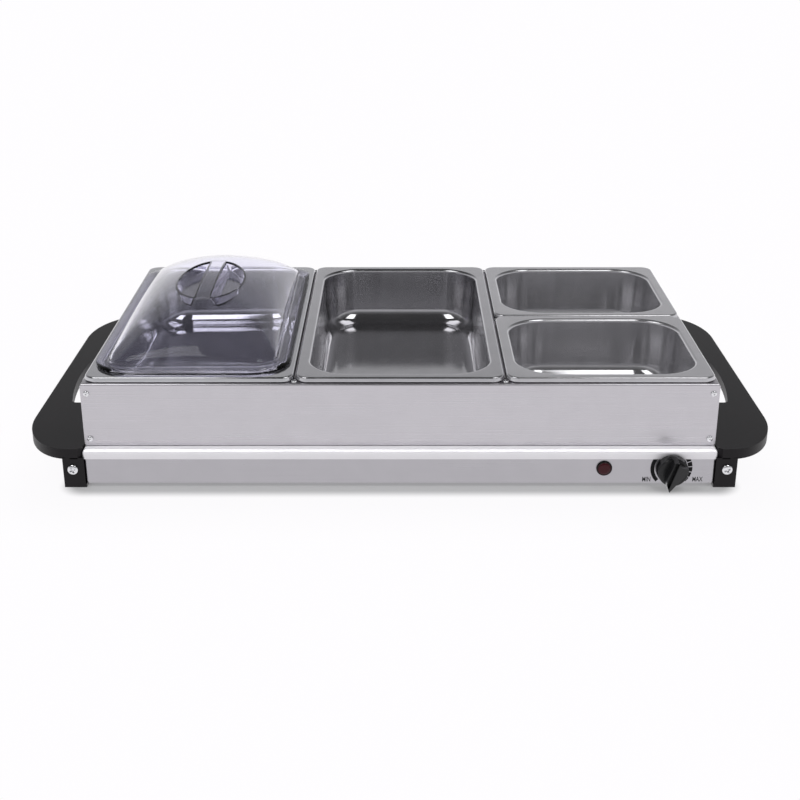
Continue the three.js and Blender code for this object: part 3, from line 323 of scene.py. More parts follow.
@dataclass(frozen=True)
class DrawnSteel(Finish):
    """Deep-drawn steel: satin walls with soft waves, and a floor that stays bright."""

    wave: float = 0.10
    wave_strength: float = 0.4
    waves: tuple[float, float, float] = (20.0, 20.0, 9.0)
    floor_roughness: float = 0.55
    floor_height: float = 0.044
    wall_height: float = 0.060

    def material(self) -> bpy.types.Material:
        """Builds the material, with a floor that is less rough than the walls.

        Returns:
            The material.
        """
        bench = self.bench()
        bench.relief(bench.noise(self.waves, detail=0.5), self.wave_strength, self.wave)
        place = bench.add("ShaderNodeTexCoord")
        split = bench.add("ShaderNodeSeparateXYZ")
        share = bench.add(
            "ShaderNodeMapRange", From_Min=self.floor_height, From_Max=self.wall_height,
            To_Min=self.floor_roughness, To_Max=1.0)
        target = bench.shader.inputs["Roughness"]
        bench.join(place.outputs["Object"], split.inputs["Vector"])
        bench.join(split.outputs["Z"], share.inputs["Value"])
        rough = bench.reckon(
            "MULTIPLY", share.outputs["Result"], target.links[0].from_socket)
        bench.join(rough, target)
        return bench.material


@dataclass(frozen=True)
class LensPlastic(Finish):
    """Dark tinted plastic that turns black at the lens's flange."""

    middle: tuple[float, float] = (0.173, 0.017)
    rim_start: float = 0.0050
    rim_end: float = 0.0060
    rim_colour: Colour = (0.002, 0.002, 0.002, 1)

    def material(self) -> bpy.types.Material:
        """Builds the material, dark from a distance round the lens's middle.

        Returns:
            The material.
        """
        bench = self.bench()
        place = bench.add("ShaderNodeTexCoord")
        flat = bench.add(
            "ShaderNodeMapping", Location=(-self.middle[0], 0, -self.middle[1]), Scale=(1, 0, 1))
        rim = bench.add("ShaderNodeMapRange", From_Min=self.rim_start, From_Max=self.rim_end)
        mix = bench.add("ShaderNodeMixRGB", Color2=self.rim_colour)
        base = bench.shader.inputs["Base Color"]
        bench.join(place.outputs["Object"], flat.inputs["Vector"])
        bench.join(bench.vector("LENGTH", flat.outputs["Vector"]), rim.inputs["Value"])
        bench.join(rim.outputs["Result"], mix.inputs["Fac"])
        bench.join(base.links[0].from_socket, mix.inputs["Color1"])
        bench.join(mix.outputs["Color"], base)
        return bench.material


@dataclass(frozen=True)
class ClearPlastic:
    """Clear moulded plastic that lets lamps through."""

    name: str
    colour: Colour
    roughness: float
    refraction: float = 1.49
    clouds: tuple[float, float, float] = (9.0, 9.0, 9.0)
    gloss_change: float = 0.4
    waves: tuple[float, float, float] = (14.0, 11.0, 14.0)
    wave: float = 0.02
    wave_strength: float = 0.2

    def material(self) -> bpy.types.Material:
        """Builds the material, a tinted window for shadow rays and clear plastic for others.

        Returns:
            The material.
        """
        bench = NodeBench(self.name)
        shader = bench.shader
        shader.inputs["Base Color"].default_value = self.colour
        shader.inputs["IOR"].default_value = self.refraction
        shader.inputs["Transmission Weight"].default_value = 1.0
        gloss = bench.spread(
            bench.noise(self.clouds, detail=2.0), self.roughness * (1 - self.gloss_change),
            self.roughness * (1 + self.gloss_change))
        bench.join(gloss, shader.inputs["Roughness"])
        bench.relief(bench.noise(self.waves, detail=1.0), self.wave_strength, self.wave)
        window = bench.add("ShaderNodeBsdfTransparent", Color=self.colour)
        path = bench.add("ShaderNodeLightPath")
        bench.lay_over(path.outputs["Is Shadow Ray"], window.outputs["BSDF"])
        return bench.material


@functools.cache
def dressed(finish: Finish | ClearPlastic) -> bpy.types.Material:
    """Gives a finish's material, built once."""
    return finish.material()


BRUSHED = Finish(
    "brushed_steel", (0.535, 0.52, 0.55, 1), 0.30, 1.0, Grain.ALONG_X,
    tone_change=0.015, gloss_change=0.05, relief=0.006, strength=0.2)
BRUSHED_SIDE = Finish(
    "brushed_steel_side", (0.535, 0.52, 0.55, 1), 0.30, 1.0, Grain.ALONG_Y,
    tone_change=0.015, gloss_change=0.05, relief=0.006, strength=0.2)
# Darker copy of the brushed steel: painted shade for the control face, recessed under the warming
# plate's skirt.
HOUSING_PAINTED_SHADE = Finish(
    "housing_steel_painted_shade", (0.44, 0.43, 0.455, 1), 0.32, 1.0, Grain.ALONG_X,
    tone_change=0.015, gloss_change=0.05, relief=0.006, strength=0.2)
# Paler, partly diffuse copy of the brushed steel: painted light that makes the warming plate's
# ledge bright.
PLATE_PAINTED_LIGHT = Finish(
    "plate_steel_painted_light", (0.70, 0.69, 0.715, 1), 0.42, 0.58, Grain.ALONG_X,
    tone_change=0.015, gloss_change=0.05, relief=0.006, strength=0.2)
PRESSED = DrawnSteel(
    "pressed_steel", (0.50, 0.495, 0.515, 1), 0.21, 0.96, Grain.ALONG_Z,
    tone_change=0.03, gloss_change=0.03, relief=0.02, strength=0.1)
# Paler, glossier copy of the pressed steel: painted light that brightens the pan under the lid.
PRESSED_COVERED_LIT = DrawnSteel(
    "pressed_steel_covered_lit", (0.52, 0.52, 0.54, 1), 0.14, 0.93, Grain.ALONG_Z,
    tone_change=0.03, gloss_change=0.02, relief=0.01, strength=0.05, wave=0.16)
# Paler, less metallic copy of the pressed steel: painted light that lets the lamps brighten the
# small pans' walls.
PRESSED_SMALL_LIT = DrawnSteel(
    "pressed_steel_small_lit", (0.55, 0.545, 0.565, 1), 0.21, 0.80, Grain.ALONG_Z,
    tone_change=0.03, gloss_change=0.03, relief=0.02, strength=0.1)
ZINC = Finish("zinc_steel", (0.45, 0.46, 0.47, 1), 0.42, 1.0, Grain.FINE, 0.10, 0.08, 0.03)
BRIGHT = Finish("bright_steel", (0.74, 0.74, 0.76, 1), 0.22, 1.0, Grain.FINE, 0.03, 0.04, 0.01)
SHEATH = Finish("element_sheath", (0.16, 0.15, 0.14, 1), 0.5, 0.8, Grain.FINE, 0.15, 0.10, 0.04)
BLACK = Finish(
    "black_plastic", (0.0085, 0.007, 0.0085, 1), 0.42, 0.0, Grain.FINE, 0.05, 0.05, 0.03,
    specular=0.2)
GLOSS_BLACK = Finish(
    "glossy_black", (0.006, 0.006, 0.007, 1), 0.25, 0.0, Grain.FINE, 0.05, 0.04, 0.01,
    specular=0.35)
CERAMIC = Finish("ceramic", (0.72, 0.68, 0.60, 1), 0.6, 0.0, Grain.FINE, 0.05, 0.06, 0.03)
WHITE = Finish("white_plastic", (0.78, 0.76, 0.72, 1), 0.4, 0.0, Grain.FINE, 0.02, 0.05, 0.01)
LENS = LensPlastic(
    "red_lens", (0.050, 0.006, 0.010, 1), 0.16, 0.0, Grain.FINE, 0.05, 0.03, 0.004,
    specular=0.2)
SLEEVE = Finish("wire_sleeve", (0.42, 0.05, 0.035, 1), 0.5, 0.0, Grain.FINE, 0.06, 0.06, 0.02)
PRINT = Finish(
    "scale_print", (0.008, 0.008, 0.009, 1), 0.5, 0.0, Grain.FINE, 0.05, 0.05, 0.002,
    specular=0.12)
GLASS = ClearPlastic("lamp_glass", (0.95, 0.75, 0.62, 1), 0.03)
CLEAR = ClearPlastic("clear_plastic", (0.89, 0.88, 0.96, 1), 0.02, refraction=1.22)


class Blank:
    """A piece in the making, drawn in millimetres, and the way it becomes an object."""

    def __init__(self, name: str) -> None:
        """Starts an empty mesh.

        Args:
            name: Name of the finished piece.
        """
        self.name = name
        self.mesh: BMesh = bmesh.new()

    def turn_out(self, facing: Vector | None) -> None:
        """Turns all faces outwards, or an open sheet's towards one side.

        Args:
            facing: Way that an open sheet's main face looks, or None for a closed body.
        """
        bmesh.ops.recalc_face_normals(self.mesh, faces=self.mesh.faces)
        if facing is None:
            return
        looks = sum((face.normal * face.calc_area() for face in self.mesh.faces), Vector())
        if looks.dot(facing) < 0:
            bmesh.ops.reverse_faces(self.mesh, faces=self.mesh.faces)

    def finish(
        self,
        body: Body,
        slot: Slot,
        finish: Finish | ClearPlastic,
        nodes: Sequence[str] = (),
        facing: Vector | None = None,
        sheet: float = 0.0,
        edge: float = 0.0,
        crease: float = 40.0,
    ) -> bpy.types.Object:
        """Makes the object, in its place, dressed and riding on its body.

        Args:
            body: Body that the piece moves with.
            slot: The record's material slot.
            finish: The piece's finish.
            nodes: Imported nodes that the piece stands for.
            facing: Way that an open sheet's main face looks.
            sheet: Thickness given to an open sheet, behind its main face.
            edge: Radius given to sharp edges.
            crease: Angle in degrees past which an edge stays sharp.

        Returns:
            The finished object.
        """
        bm = self.mesh
        bmesh.ops.remove_doubles(bm, verts=bm.verts, dist=MERGE)
        self.turn_out(facing)
        bmesh.ops.translate(bm, vec=(0, DRAWING_SHIFT, 0), verts=bm.verts)
        bmesh.ops.scale(bm, vec=(MM, MM, MM), verts=bm.verts)
        data = bpy.data.meshes.new(self.name)
        bm.to_mesh(data)
        bm.free()
        data.shade_smooth()
        data.set_sharp_from_angle(angle=math.radians(crease))
        piece = bpy.data.objects.new(self.name, data)
        bpy.context.scene.collection.objects.link(piece)
        if sheet:
            wall = piece.modifiers.new("sheet", "SOLIDIFY")
            wall.thickness = sheet * MM
            wall.offset = -1.0
        if edge:
            round_off = piece.modifiers.new("edges", "BEVEL")
            round_off.width = edge * MM
            round_off.segments = EDGE_STEPS
            round_off.limit_method = "ANGLE"
            round_off.angle_limit = math.radians(crease)
        even = piece.modifiers.new("even_shading", "WEIGHTED_NORMAL")
        even.keep_sharp = True
        data.materials.append(dressed(finish))
        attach(piece, body.value)
        if nodes:
            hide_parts(*nodes)
        LOG.info("%s: %d faces on %s", self.name, len(data.polygons), body.value)
        return piece


def arc(
    centre: tuple[float, float], radius: float, start: float, end: float, steps: int
) -> Section:
    """Points on an arc of a section.

    Args:
        centre: The arc's centre in the section.
        radius: The arc's radius.
        start: First angle in degrees.
        end: Last angle in degrees.
        steps: Pieces that the arc is split into.

    Returns:
        The points, both ends among them.
    """
    points = []
    for i in range(steps + 1):
        angle = math.radians(start + (end - start) * i / steps)
        points.append((centre[0] + radius * math.cos(angle), centre[1] + radius * math.sin(angle)))
    return points


def pull(
    bm: BMesh, rim: list[BMEdge], move: Callable[[Vector], Vector]
) -> list[BMEdge]:
    """Extrudes a rim of edges once and moves the new ring.

    Args:
        bm: The mesh.
        rim: Edges of the present ring.
        move: Gives a new place for each of the ring's points.

    Returns:
        The new ring's edges.
    """
    made = bmesh.ops.extrude_edge_only(bm, edges=rim)["geom"]
    fresh = dict.fromkeys(item for item in made if isinstance(item, BMVert))
    for vert in fresh:
        vert.co = move(vert.co)
    return [
        item for item in made
        if isinstance(item, BMEdge) and item.verts[0] in fresh and item.verts[1] in fresh
    ]


def cut(bm: BMesh, faces: Sequence[BMFace], place: Vector, square_to: Vector) -> None:
    """Parts some faces along a plane.

    Args:
        bm: The mesh.
        faces: The faces to part.
        place: A point on the plane.
        square_to: The plane's normal.
    """
    edges = dict.fromkeys(edge for face in faces for edge in face.edges)
    verts = dict.fromkeys(vert for face in faces for vert in face.verts)
    bmesh.ops.bisect_plane(
        bm, geom=[*faces, *edges, *verts], dist=MERGE, plane_co=place, plane_no=square_to)


def draw_out(
    bm: BMesh, faces: Sequence[BMFace], way: Vector, keep: bool = False
) -> tuple[list[BMVert], list[BMFace]]:
    """Extrudes a patch of faces and moves it.

    Args:
        bm: The mesh.
        faces: The patch.
        way: How far and which way it moves.
        keep: True if the patch also stays where it was, as a slab's other side.

    Returns:
        The moved patch's points and faces.
    """
    made = bmesh.ops.extrude_face_region(bm, geom=faces)["geom"]
    verts = [item for item in made if isinstance(item, BMVert)]
    bmesh.ops.translate(bm, vec=way, verts=verts)
    if not keep:
        bmesh.ops.delete(bm, geom=faces, context="FACES")
    return verts, [item for item in made if isinstance(item, BMFace)]


def shared_out(
    shares: Iterable[tuple[float, float]], radius: float, height: float
) -> Section:
    """Points of an outline from their shares of a radius and a height."""
    return [(radius * wide, height * high) for wide, high in shares]


def outlined(bm: BMesh, points: Iterable[Sequence[float]]) -> BMFace:
    """Makes a flat face from its outline.

    Args:
        bm: The mesh.
        points: The outline's points in order.

    Returns:
        The face.
    """
    verts = [bmesh.ops.create_vert(bm, co=point)["vert"][0] for point in points]
    edges = [bm.edges.new(pair) for pair in zip(verts, verts[1:] + verts[:1])]
    return bmesh.ops.contextual_create(bm, geom=edges)["faces"][0]


@dataclass(frozen=True)
class Station:
    """One ring of a pressed sheet: how far in, how high, and the corner's radius there."""

    inset: float
    height: float
    corner: float


@dataclass(frozen=True)
class RoundedPlan:
    """A rounded rectangle seen from above, from which a pressed sheet is pulled."""

    width: float
    length: float
    centre: tuple[float, float] = (0.0, 0.0)
    corner_steps: int = 14

    def plate(self, bm: BMesh, station: Station) -> None:
        """Lays the flat plate that the sheet starts from.

        Args:
            bm: The mesh.
            station: The plate's inset, height and corner.
        """
        made = bmesh.ops.create_grid(bm, x_segments=1, y_segments=1, size=0.5)
        size = (self.width - 2 * station.inset, self.length - 2 * station.inset, 1)
        bmesh.ops.scale(bm, vec=size, verts=made["verts"])
        bmesh.ops.translate(bm, vec=(*self.centre, station.height), verts=made["verts"])
        bmesh.ops.bevel(
            bm, geom=made["verts"], offset=station.corner, offset_type="OFFSET",
            segments=self.corner_steps, profile=0.5, affect="VERTICES", material=-1)

    def carried(self, point: Vector, last: Station, to: Station) -> Vector:
        """Where a point of one ring lies on another.

        Args:
            point: A point on the last ring.
            last: The ring that the point is on.
            to: The ring that it goes to.

        Returns:
            The point's new place.
        """
        side = Vector((math.copysign(1, point.x - self.centre[0]),
                       math.copysign(1, point.y - self.centre[1])))
        half = Vector((self.width / 2, self.length / 2))
        middle = Vector(self.centre)
        old = middle + side * (half - Vector((last.inset + last.corner,) * 2))
        new = middle + side * (half - Vector((to.inset + to.corner,) * 2))
        flat = new + (point.xy - old) * (to.corner / last.corner)
        return Vector((flat.x, flat.y, to.height))

    def press(self, bm: BMesh, stations: Iterable[Station]) -> None:
        """Lays the plate at the first station and pulls its rim through the others.

        Args:
            bm: The mesh.
            stations: The rings in order.
        """
        last, *others = stations
        self.plate(bm, last)
        rim = [edge for edge in bm.edges if edge.is_boundary]
        for to in others:
            move = functools.partial(self.carried, last=last, to=to)
            rim = pull(bm, rim, move)
            last = to


def spun(bm: BMesh, outline: Section, axis: Vector, centre: Vector, steps: int) -> None:
    """Turns an outline full round.

    Args:
        bm: The mesh.
        outline: Points as radius and height along the axis.
        axis: The axis of turning, along Y or Z.
        centre: A point on the axis.
        steps: Pieces that the turn is split into.
    """
    verts = []
    for radius, height in outline:
        place = centre + Vector((radius, 0, 0)) + axis * height
        verts.append(bmesh.ops.create_vert(bm, co=place)["vert"][0])
    edges = [bm.edges.new(pair) for pair in zip(verts, verts[1:])]
    bmesh.ops.spin(
        bm, geom=[*verts, *edges], cent=centre, axis=axis, angle=math.tau, steps=steps,
        use_merge=True, use_duplicate=False)
    bmesh.ops.remove_doubles(bm, verts=bm.verts, dist=MERGE)


@dataclass
class FoodPan:
    """A deep-drawn pan with a flat rim, a lip and a rolled hem."""

    name: str
    body: Body
    node: str
    x: float
    y: float
    length: float
    steel: DrawnSteel = PRESSED
    mouth_corner: float = 38.0
    top: float = 94.9
    width: float = 176.0
    depth: float = 55.0
    sheet: float = 0.7
    rim_width: float = 11.0
    rim_corner: float = 11.0
    throat: float = 3.0
    lean: float = 4.0
    floor_bend: float = 15.0
    lip: float = 4.4
    lip_bend: float = 1.6
    hem: float = 1.0
    hem_start: float = 150.0
    hem_end: float = 400.0
    floor_steps: int = 10
    throat_steps: int = 6
    lip_steps: int = 5
    hem_steps: int = 9

    def corner_at(self, inset: float) -> float:
        """Works out the corner's radius in plan.

        Args:
            inset: Distance in from the pan's outline.

        Returns:
            The radius there.
        """
        throat_start = self.rim_width - self.throat
        if inset < throat_start:
            share = max(0.0, inset - self.lip_bend) / (throat_start - self.lip_bend)
            start = self.rim_corner - min(inset, self.lip_bend)
            return start + (self.mouth_corner - start) * share
        return self.mouth_corner + throat_start - inset

    def section(self) -> Section:
        """The upper side from the floor out to the hem, as inset and height.

        Returns:
            The section's points.
        """
        lean = math.radians(self.lean)
        throat_x = self.rim_width - self.throat
        wall_top = throat_x + self.throat * math.cos(lean)
        wall_top_z = self.throat * (math.sin(lean) - 1)
        wall_foot_z = self.floor_bend * (1 - math.sin(lean)) - self.depth
        wall_foot = wall_top + (wall_top_z - wall_foot_z) * math.tan(lean)
        floor_x = wall_foot + self.floor_bend * math.cos(lean)
        floor = (floor_x, self.floor_bend - self.depth)
        lip = (self.hem / 2 + self.lip_bend, -self.lip_bend)
        hem = (self.hem, self.hem - self.lip)
        return [
            *arc(floor, self.floor_bend, 270, 180 + self.lean, self.floor_steps),
            *arc((throat_x, -self.throat), self.throat, self.lean, 90, self.throat_steps),
            *arc(lip, self.lip_bend, 90, 180, self.lip_steps),
            *arc(hem, self.hem, self.hem_start, self.hem_end, self.hem_steps),
        ]

    def build(self) -> bpy.types.Object:
        """Presses the pan and dresses it.

        Returns:
            The pan.
        """
        blank = Blank(self.name)
        plan = RoundedPlan(self.width, self.length, (self.x, self.y))
        stations = [
            Station(inset, self.top + height, self.corner_at(inset))
            for inset, height in self.section()
        ]
        plan.press(blank.mesh, stations)
        return blank.finish(
            self.body, Slot.PRESSED_STEEL, self.steel, [self.node], facing=UP, sheet=self.sheet)


@dataclass
class BaseCover:
    """The warming plate with its rounded edge and skirt."""

    width: float = 536.0
    length: float = 348.0
    top: float = 33.9
    sheet: float = 0.8
    edge: float = 3.0
    corner: float = 2.0
    inner_corner: float = 1.0
    skirt: float = 8.2
    bend_steps: int = 6

    def build(self) -> bpy.types.Object:
        """Presses the plate and dresses it.

        Returns:
            The plate.
        """
        blank = Blank("warming_plate")
        bends = arc((self.edge, -self.edge), self.edge, 90, 180, self.bend_steps)
        stations = [
            Station(inset, self.top + height, max(self.corner - inset, self.inner_corner))
            for inset, height in [*bends, (0.0, -self.skirt)]
        ]
        plan = RoundedPlan(self.width, self.length, corner_steps=self.bend_steps)
        plan.press(blank.mesh, stations)
        return blank.finish(
            Body.BASE, Slot.BRUSHED_STEEL, PLATE_PAINTED_LIGHT, ["base_cover"], facing=UP, sheet=self.sheet)


@dataclass
class Rivet:
    """A blind rivet's head with its hollow middle.

    The head's outline is given in shares of its radius and height, the mouth's of the hollow's
    radius and the head's height.
    """

    name: str
    place: Vector
    axis: Vector
    radius: float = 2.6
    height: float = 1.3
    hollow: float = 0.5
    hollow_floor: float = 0.1
    hollow_taper: float = 0.9
    shank: float = 1.6
    depth: float = 3.0
    head: tuple[tuple[float, float], ...] = ((1.0, 0.0), (1.0, 0.25), (0.9, 0.6), (0.68, 0.9))
    mouth: tuple[tuple[float, float], ...] = ((1.2, 1.0), (1.0, 0.85))
    steps: int = 20

    def build(self) -> bpy.types.Object:
        """Turns the rivet and dresses it.

        Returns:
            The rivet.
        """
        blank = Blank(f"{self.name}_head")
        outline = [
            (0.0, -self.depth), (self.shank, -self.depth), (self.shank, 0.0),
            *shared_out(self.head, self.radius, self.height),
            *shared_out(self.mouth, self.hollow, self.height),
            (self.hollow * self.hollow_taper, self.hollow_floor), (0.0, self.hollow_floor),
        ]
        spun(blank.mesh, outline, self.axis, Vector(), self.steps)
        bmesh.ops.translate(blank.mesh, vec=self.place, verts=blank.mesh.verts)
        return blank.finish(Body.PAN_FRAME, Slot.BRIGHT_STEEL, BRIGHT, [self.name])


@dataclass
class CrossScrew:
    """A round-headed screw with a cross recess.

    The head stands upright up to a share of its height, the brim, and is round above it. The
    cross is cut into what lies above another share, top_start.
    """

    name: str
    place: Vector
    axis: Vector
    finish: Finish
    slot: Slot
    radius: float = 4.5
    height: float = 2.4
    brim: float = 0.25
    dome: tuple[float, ...] = (0.35, 0.5, 0.65, 0.8, 0.95)
    top_start: float = 0.3
    arm: float = 2.6
    slit: float = 0.75
    recess: float = 1.7
    cross_turn: float = 25.0
    shank: float = 2.0
    tip: float = 1.0
    depth: float = 9.0
    steps: int = 28

    def build(self) -> bpy.types.Object:
        """Turns the screw, sinks its cross and dresses it.

        Returns:
            The screw.
        """
        blank = Blank(f"{self.name}_head")
        bm = blank.mesh
        outline = [
            (0.0, -self.depth), (self.shank, self.tip - self.depth), (self.shank, 0.0),
            (self.radius, 0.0), (self.radius, self.height * self.brim),
        ]
        for share in self.dome:
            risen = (share - self.brim) / (1 - self.brim)
            outline.append((self.radius * math.sqrt(1 - risen ** 2), self.height * share))
        outline.append((0.0, self.height))
        spun(bm, outline, UP, Vector(), self.steps)
        self.sink_cross(bm)
        turn = UP.rotation_difference(self.axis).to_matrix()
        turn = turn @ Matrix.Rotation(math.radians(self.cross_turn), 3, "Z")
        bmesh.ops.rotate(bm, cent=Vector(), matrix=turn, verts=bm.verts)
        bmesh.ops.translate(bm, vec=self.place, verts=bm.verts)
        return blank.finish(Body.BASE, self.slot, self.finish, [self.name], crease=50)

    def sink_cross(self, bm: BMesh) -> None:
        """Cuts the head's top along the cross and sinks it.

        Args:
            bm: The screw's mesh, head up.
        """
        top = self.height * self.top_start
        for direction in (RIGHT, BACK):
            for offset in (-self.arm, -self.slit, self.slit, self.arm):
                faces = [face for face in bm.faces if face.calc_center_median().z > top]
                cut(bm, faces, direction * offset, direction)
        cross = [face for face in bm.faces if self.in_cross(face.calc_center_median(), top)]
        draw_out(bm, cross, UP * -self.recess)

    def in_cross(self, point: Vector, top: float) -> bool:
        """True if a point of the head's top lies in the cross."""
        wide, narrow = max(abs(point.x), abs(point.y)), min(abs(point.x), abs(point.y))
        return point.z > top and wide < self.arm and narrow < self.slit


@dataclass
class Handle:
    """A moulded handle: a flat ribbed plate with a hand slot, on two legs with hooked feet."""

    hand: str
    side: int
    near: float = 268.3
    base_edge: float = 268.0
    reach: float = 56.0
    length: float = 350.0
    top: float = 35.4
    thick: float = 9.2
    corner_reach: float = 45.36
    corner_length: float = 70.0
    chamfer: float = 3.5
    slot_length: float = 143.0
    slot_reach: float = 32.31
    slot_bow: float = 7.0
    slot_corner: float = 5.0
    leg_width: float = 16.7
    leg_depth: float = 25.0
    leg_set_in: float = 1.0
    leg_near: float = 267.1
    hook: float = 0.9
    hook_height: float = 3.0
    wall: float = 2.6
    rib: float = 1.8
    ribs: int = 6
    edge: float = 0.5
    corner_steps: int = 24
    slot_corner_steps: int = 6
    bow_steps: int = 20

    @property
    def under(self) -> float:
        """Height of the plate's underside."""
        return self.top - self.thick

    def outline(self) -> list[Vector]:
        """The plate's outline in plan, for the right hand side.

        Returns:
            The points in order.
        """
        end = self.length / 2
        corner_x = self.base_edge + self.reach - self.corner_reach
        corner_y = end - self.corner_length
        rail = self.base_edge + self.slot_reach
        slot_end = self.slot_length / 2
        round_end = slot_end - self.slot_corner
        points = [(self.near, self.chamfer - end), (self.near + self.chamfer, -end)]
        for start, middle in ((-90, -corner_y), (0, corner_y)):
            for x, y in arc((0, 0), 1, start, start + 90, self.corner_steps):
                points.append((corner_x + self.corner_reach * x, middle + self.corner_length * y))
        points += [(self.near + self.chamfer, end), (self.near, end - self.chamfer)]
        points.append((self.near, slot_end))
        corner, inner_x = self.slot_corner, rail - self.slot_corner
        points += arc((inner_x, round_end), corner, 90, 0, self.slot_corner_steps)
        for i in range(1, self.bow_steps):
            share = i / self.bow_steps
            y = round_end * (1 - 2 * share)
            points.append((rail + 4 * share * (1 - share) * self.slot_bow, y))
        points += arc((inner_x, -round_end), corner, 0, -90, self.slot_corner_steps)
        points.append((self.near, -slot_end))
        return [Vector((x, y, self.under)) for x, y in points]

    def build(self) -> bpy.types.Object:
        """Moulds the handle and dresses it.

        Returns:
            The handle.
        """
        blank = Blank(f"handle_{self.hand}_moulding")
        bm = blank.mesh
        sole = outlined(bm, self.outline())
        draw_out(bm, [sole], UP * self.thick, keep=True)
        self.hollow_out(bm, self.part_sole(bm))
        self.set_legs(bm)
        self.hook_feet(bm)
        if self.side < 0:
            turn = Matrix.Rotation(math.pi, 3, "Z")
            bmesh.ops.rotate(bm, cent=Vector(), matrix=turn, verts=bm.verts)
        return blank.finish(
            Body.BASE, Slot.BLACK_PLASTIC, BLACK, [f"handle_{self.hand}"], edge=self.edge)

    def soles(self, bm: BMesh) -> list[BMFace]:
        """Flat faces of the plate's underside."""
        return [face for face in bm.faces
                if all(abs(vert.co.z - self.under) < MERGE for vert in face.verts)]

    def part_sole(self, bm: BMesh) -> list[BMFace]:
        """Cuts the legs' footprints out of the plate's underside.

        Args:
            bm: The handle's mesh.

        Returns:
            The faces above the legs, which stay solid.
        """
        leg_far = self.near + self.leg_width
        leg_start = self.length / 2 - self.leg_depth
        for at, square_to in ((leg_start, BACK), (-leg_start, BACK), (leg_far, RIGHT)):
            cut(bm, self.soles(bm), square_to * at, square_to)
        return [face for face in self.soles(bm)
                if face.calc_center_median().x < leg_far
                and abs(face.calc_center_median().y) > leg_start]

    def set_legs(self, bm: BMesh) -> None:
        """Sets a block leg under each end of the plate, flush with its end.

        Args:
            bm: The handle's mesh.
        """
        width = self.near + self.leg_width - self.leg_near
        size = Vector((width, self.leg_depth, self.under + self.leg_set_in))
        for side in (-1, 1):
            verts = bmesh.ops.create_cube(bm, size=1.0)["verts"]
            bmesh.ops.scale(bm, vec=size, verts=verts)
            place = (self.leg_near + size.x / 2, side * (self.length - size.y) / 2, size.z / 2)
            bmesh.ops.translate(bm, vec=place, verts=verts)

    def hook_feet(self, bm: BMesh) -> None:
        """Draws a hook from the foot of each leg, in under the base.

        Args:
            bm: The handle's mesh.
        """
        cut(bm, self.inner_sides(bm, self.top), UP * self.hook_height, UP)
        draw_out(bm, self.inner_sides(bm, self.hook_height), RIGHT * -self.hook)

    def inner_sides(self, bm: BMesh, below: float) -> list[BMFace]:
        """Finds the faces of the legs that look at the base.

        Args:
            bm: The handle's mesh.
            below: Height that the faces don't pass.

        Returns:
            The faces.
        """
        return [face for face in bm.faces
                if all(abs(vert.co.x - self.leg_near) < MERGE and vert.co.z < below + MERGE
                       for vert in face.verts)]

    def hollow_out(self, bm: BMesh, solid: list[BMFace]) -> None:
        """Makes the hollows between wall, legs and ribs, closed below by the underside.

        Args:
            bm: The handle's mesh.
            solid: Faces of the underside that have no hollow above them.
        """
        open_soles = [face for face in self.soles(bm) if face not in solid]
        soles = bmesh.ops.dissolve_faces(bm, faces=open_soles)["region"]
        bmesh.ops.inset_region(
            bm, faces=soles, thickness=self.wall, use_even_offset=True, use_boundary=True)
        inner = [face for face in soles if face.is_valid]
        end = self.length / 2
        middles = [end * ((2 * i + 1) / self.ribs - 1) for i in range(self.ribs)]
        for middle in middles:
            for y in (middle - self.rib / 2, middle + self.rib / 2):
                known = set(bm.faces)
                cut(bm, inner, BACK * y, BACK)
                inner += [face for face in bm.faces if face not in known]
        open_faces = [
            face for face in inner
            if face.is_valid and all(
                abs(face.calc_center_median().y - middle) > self.rib for middle in middles)
        ]
        draw_out(bm, open_faces, UP * (self.thick - self.wall), keep=True)


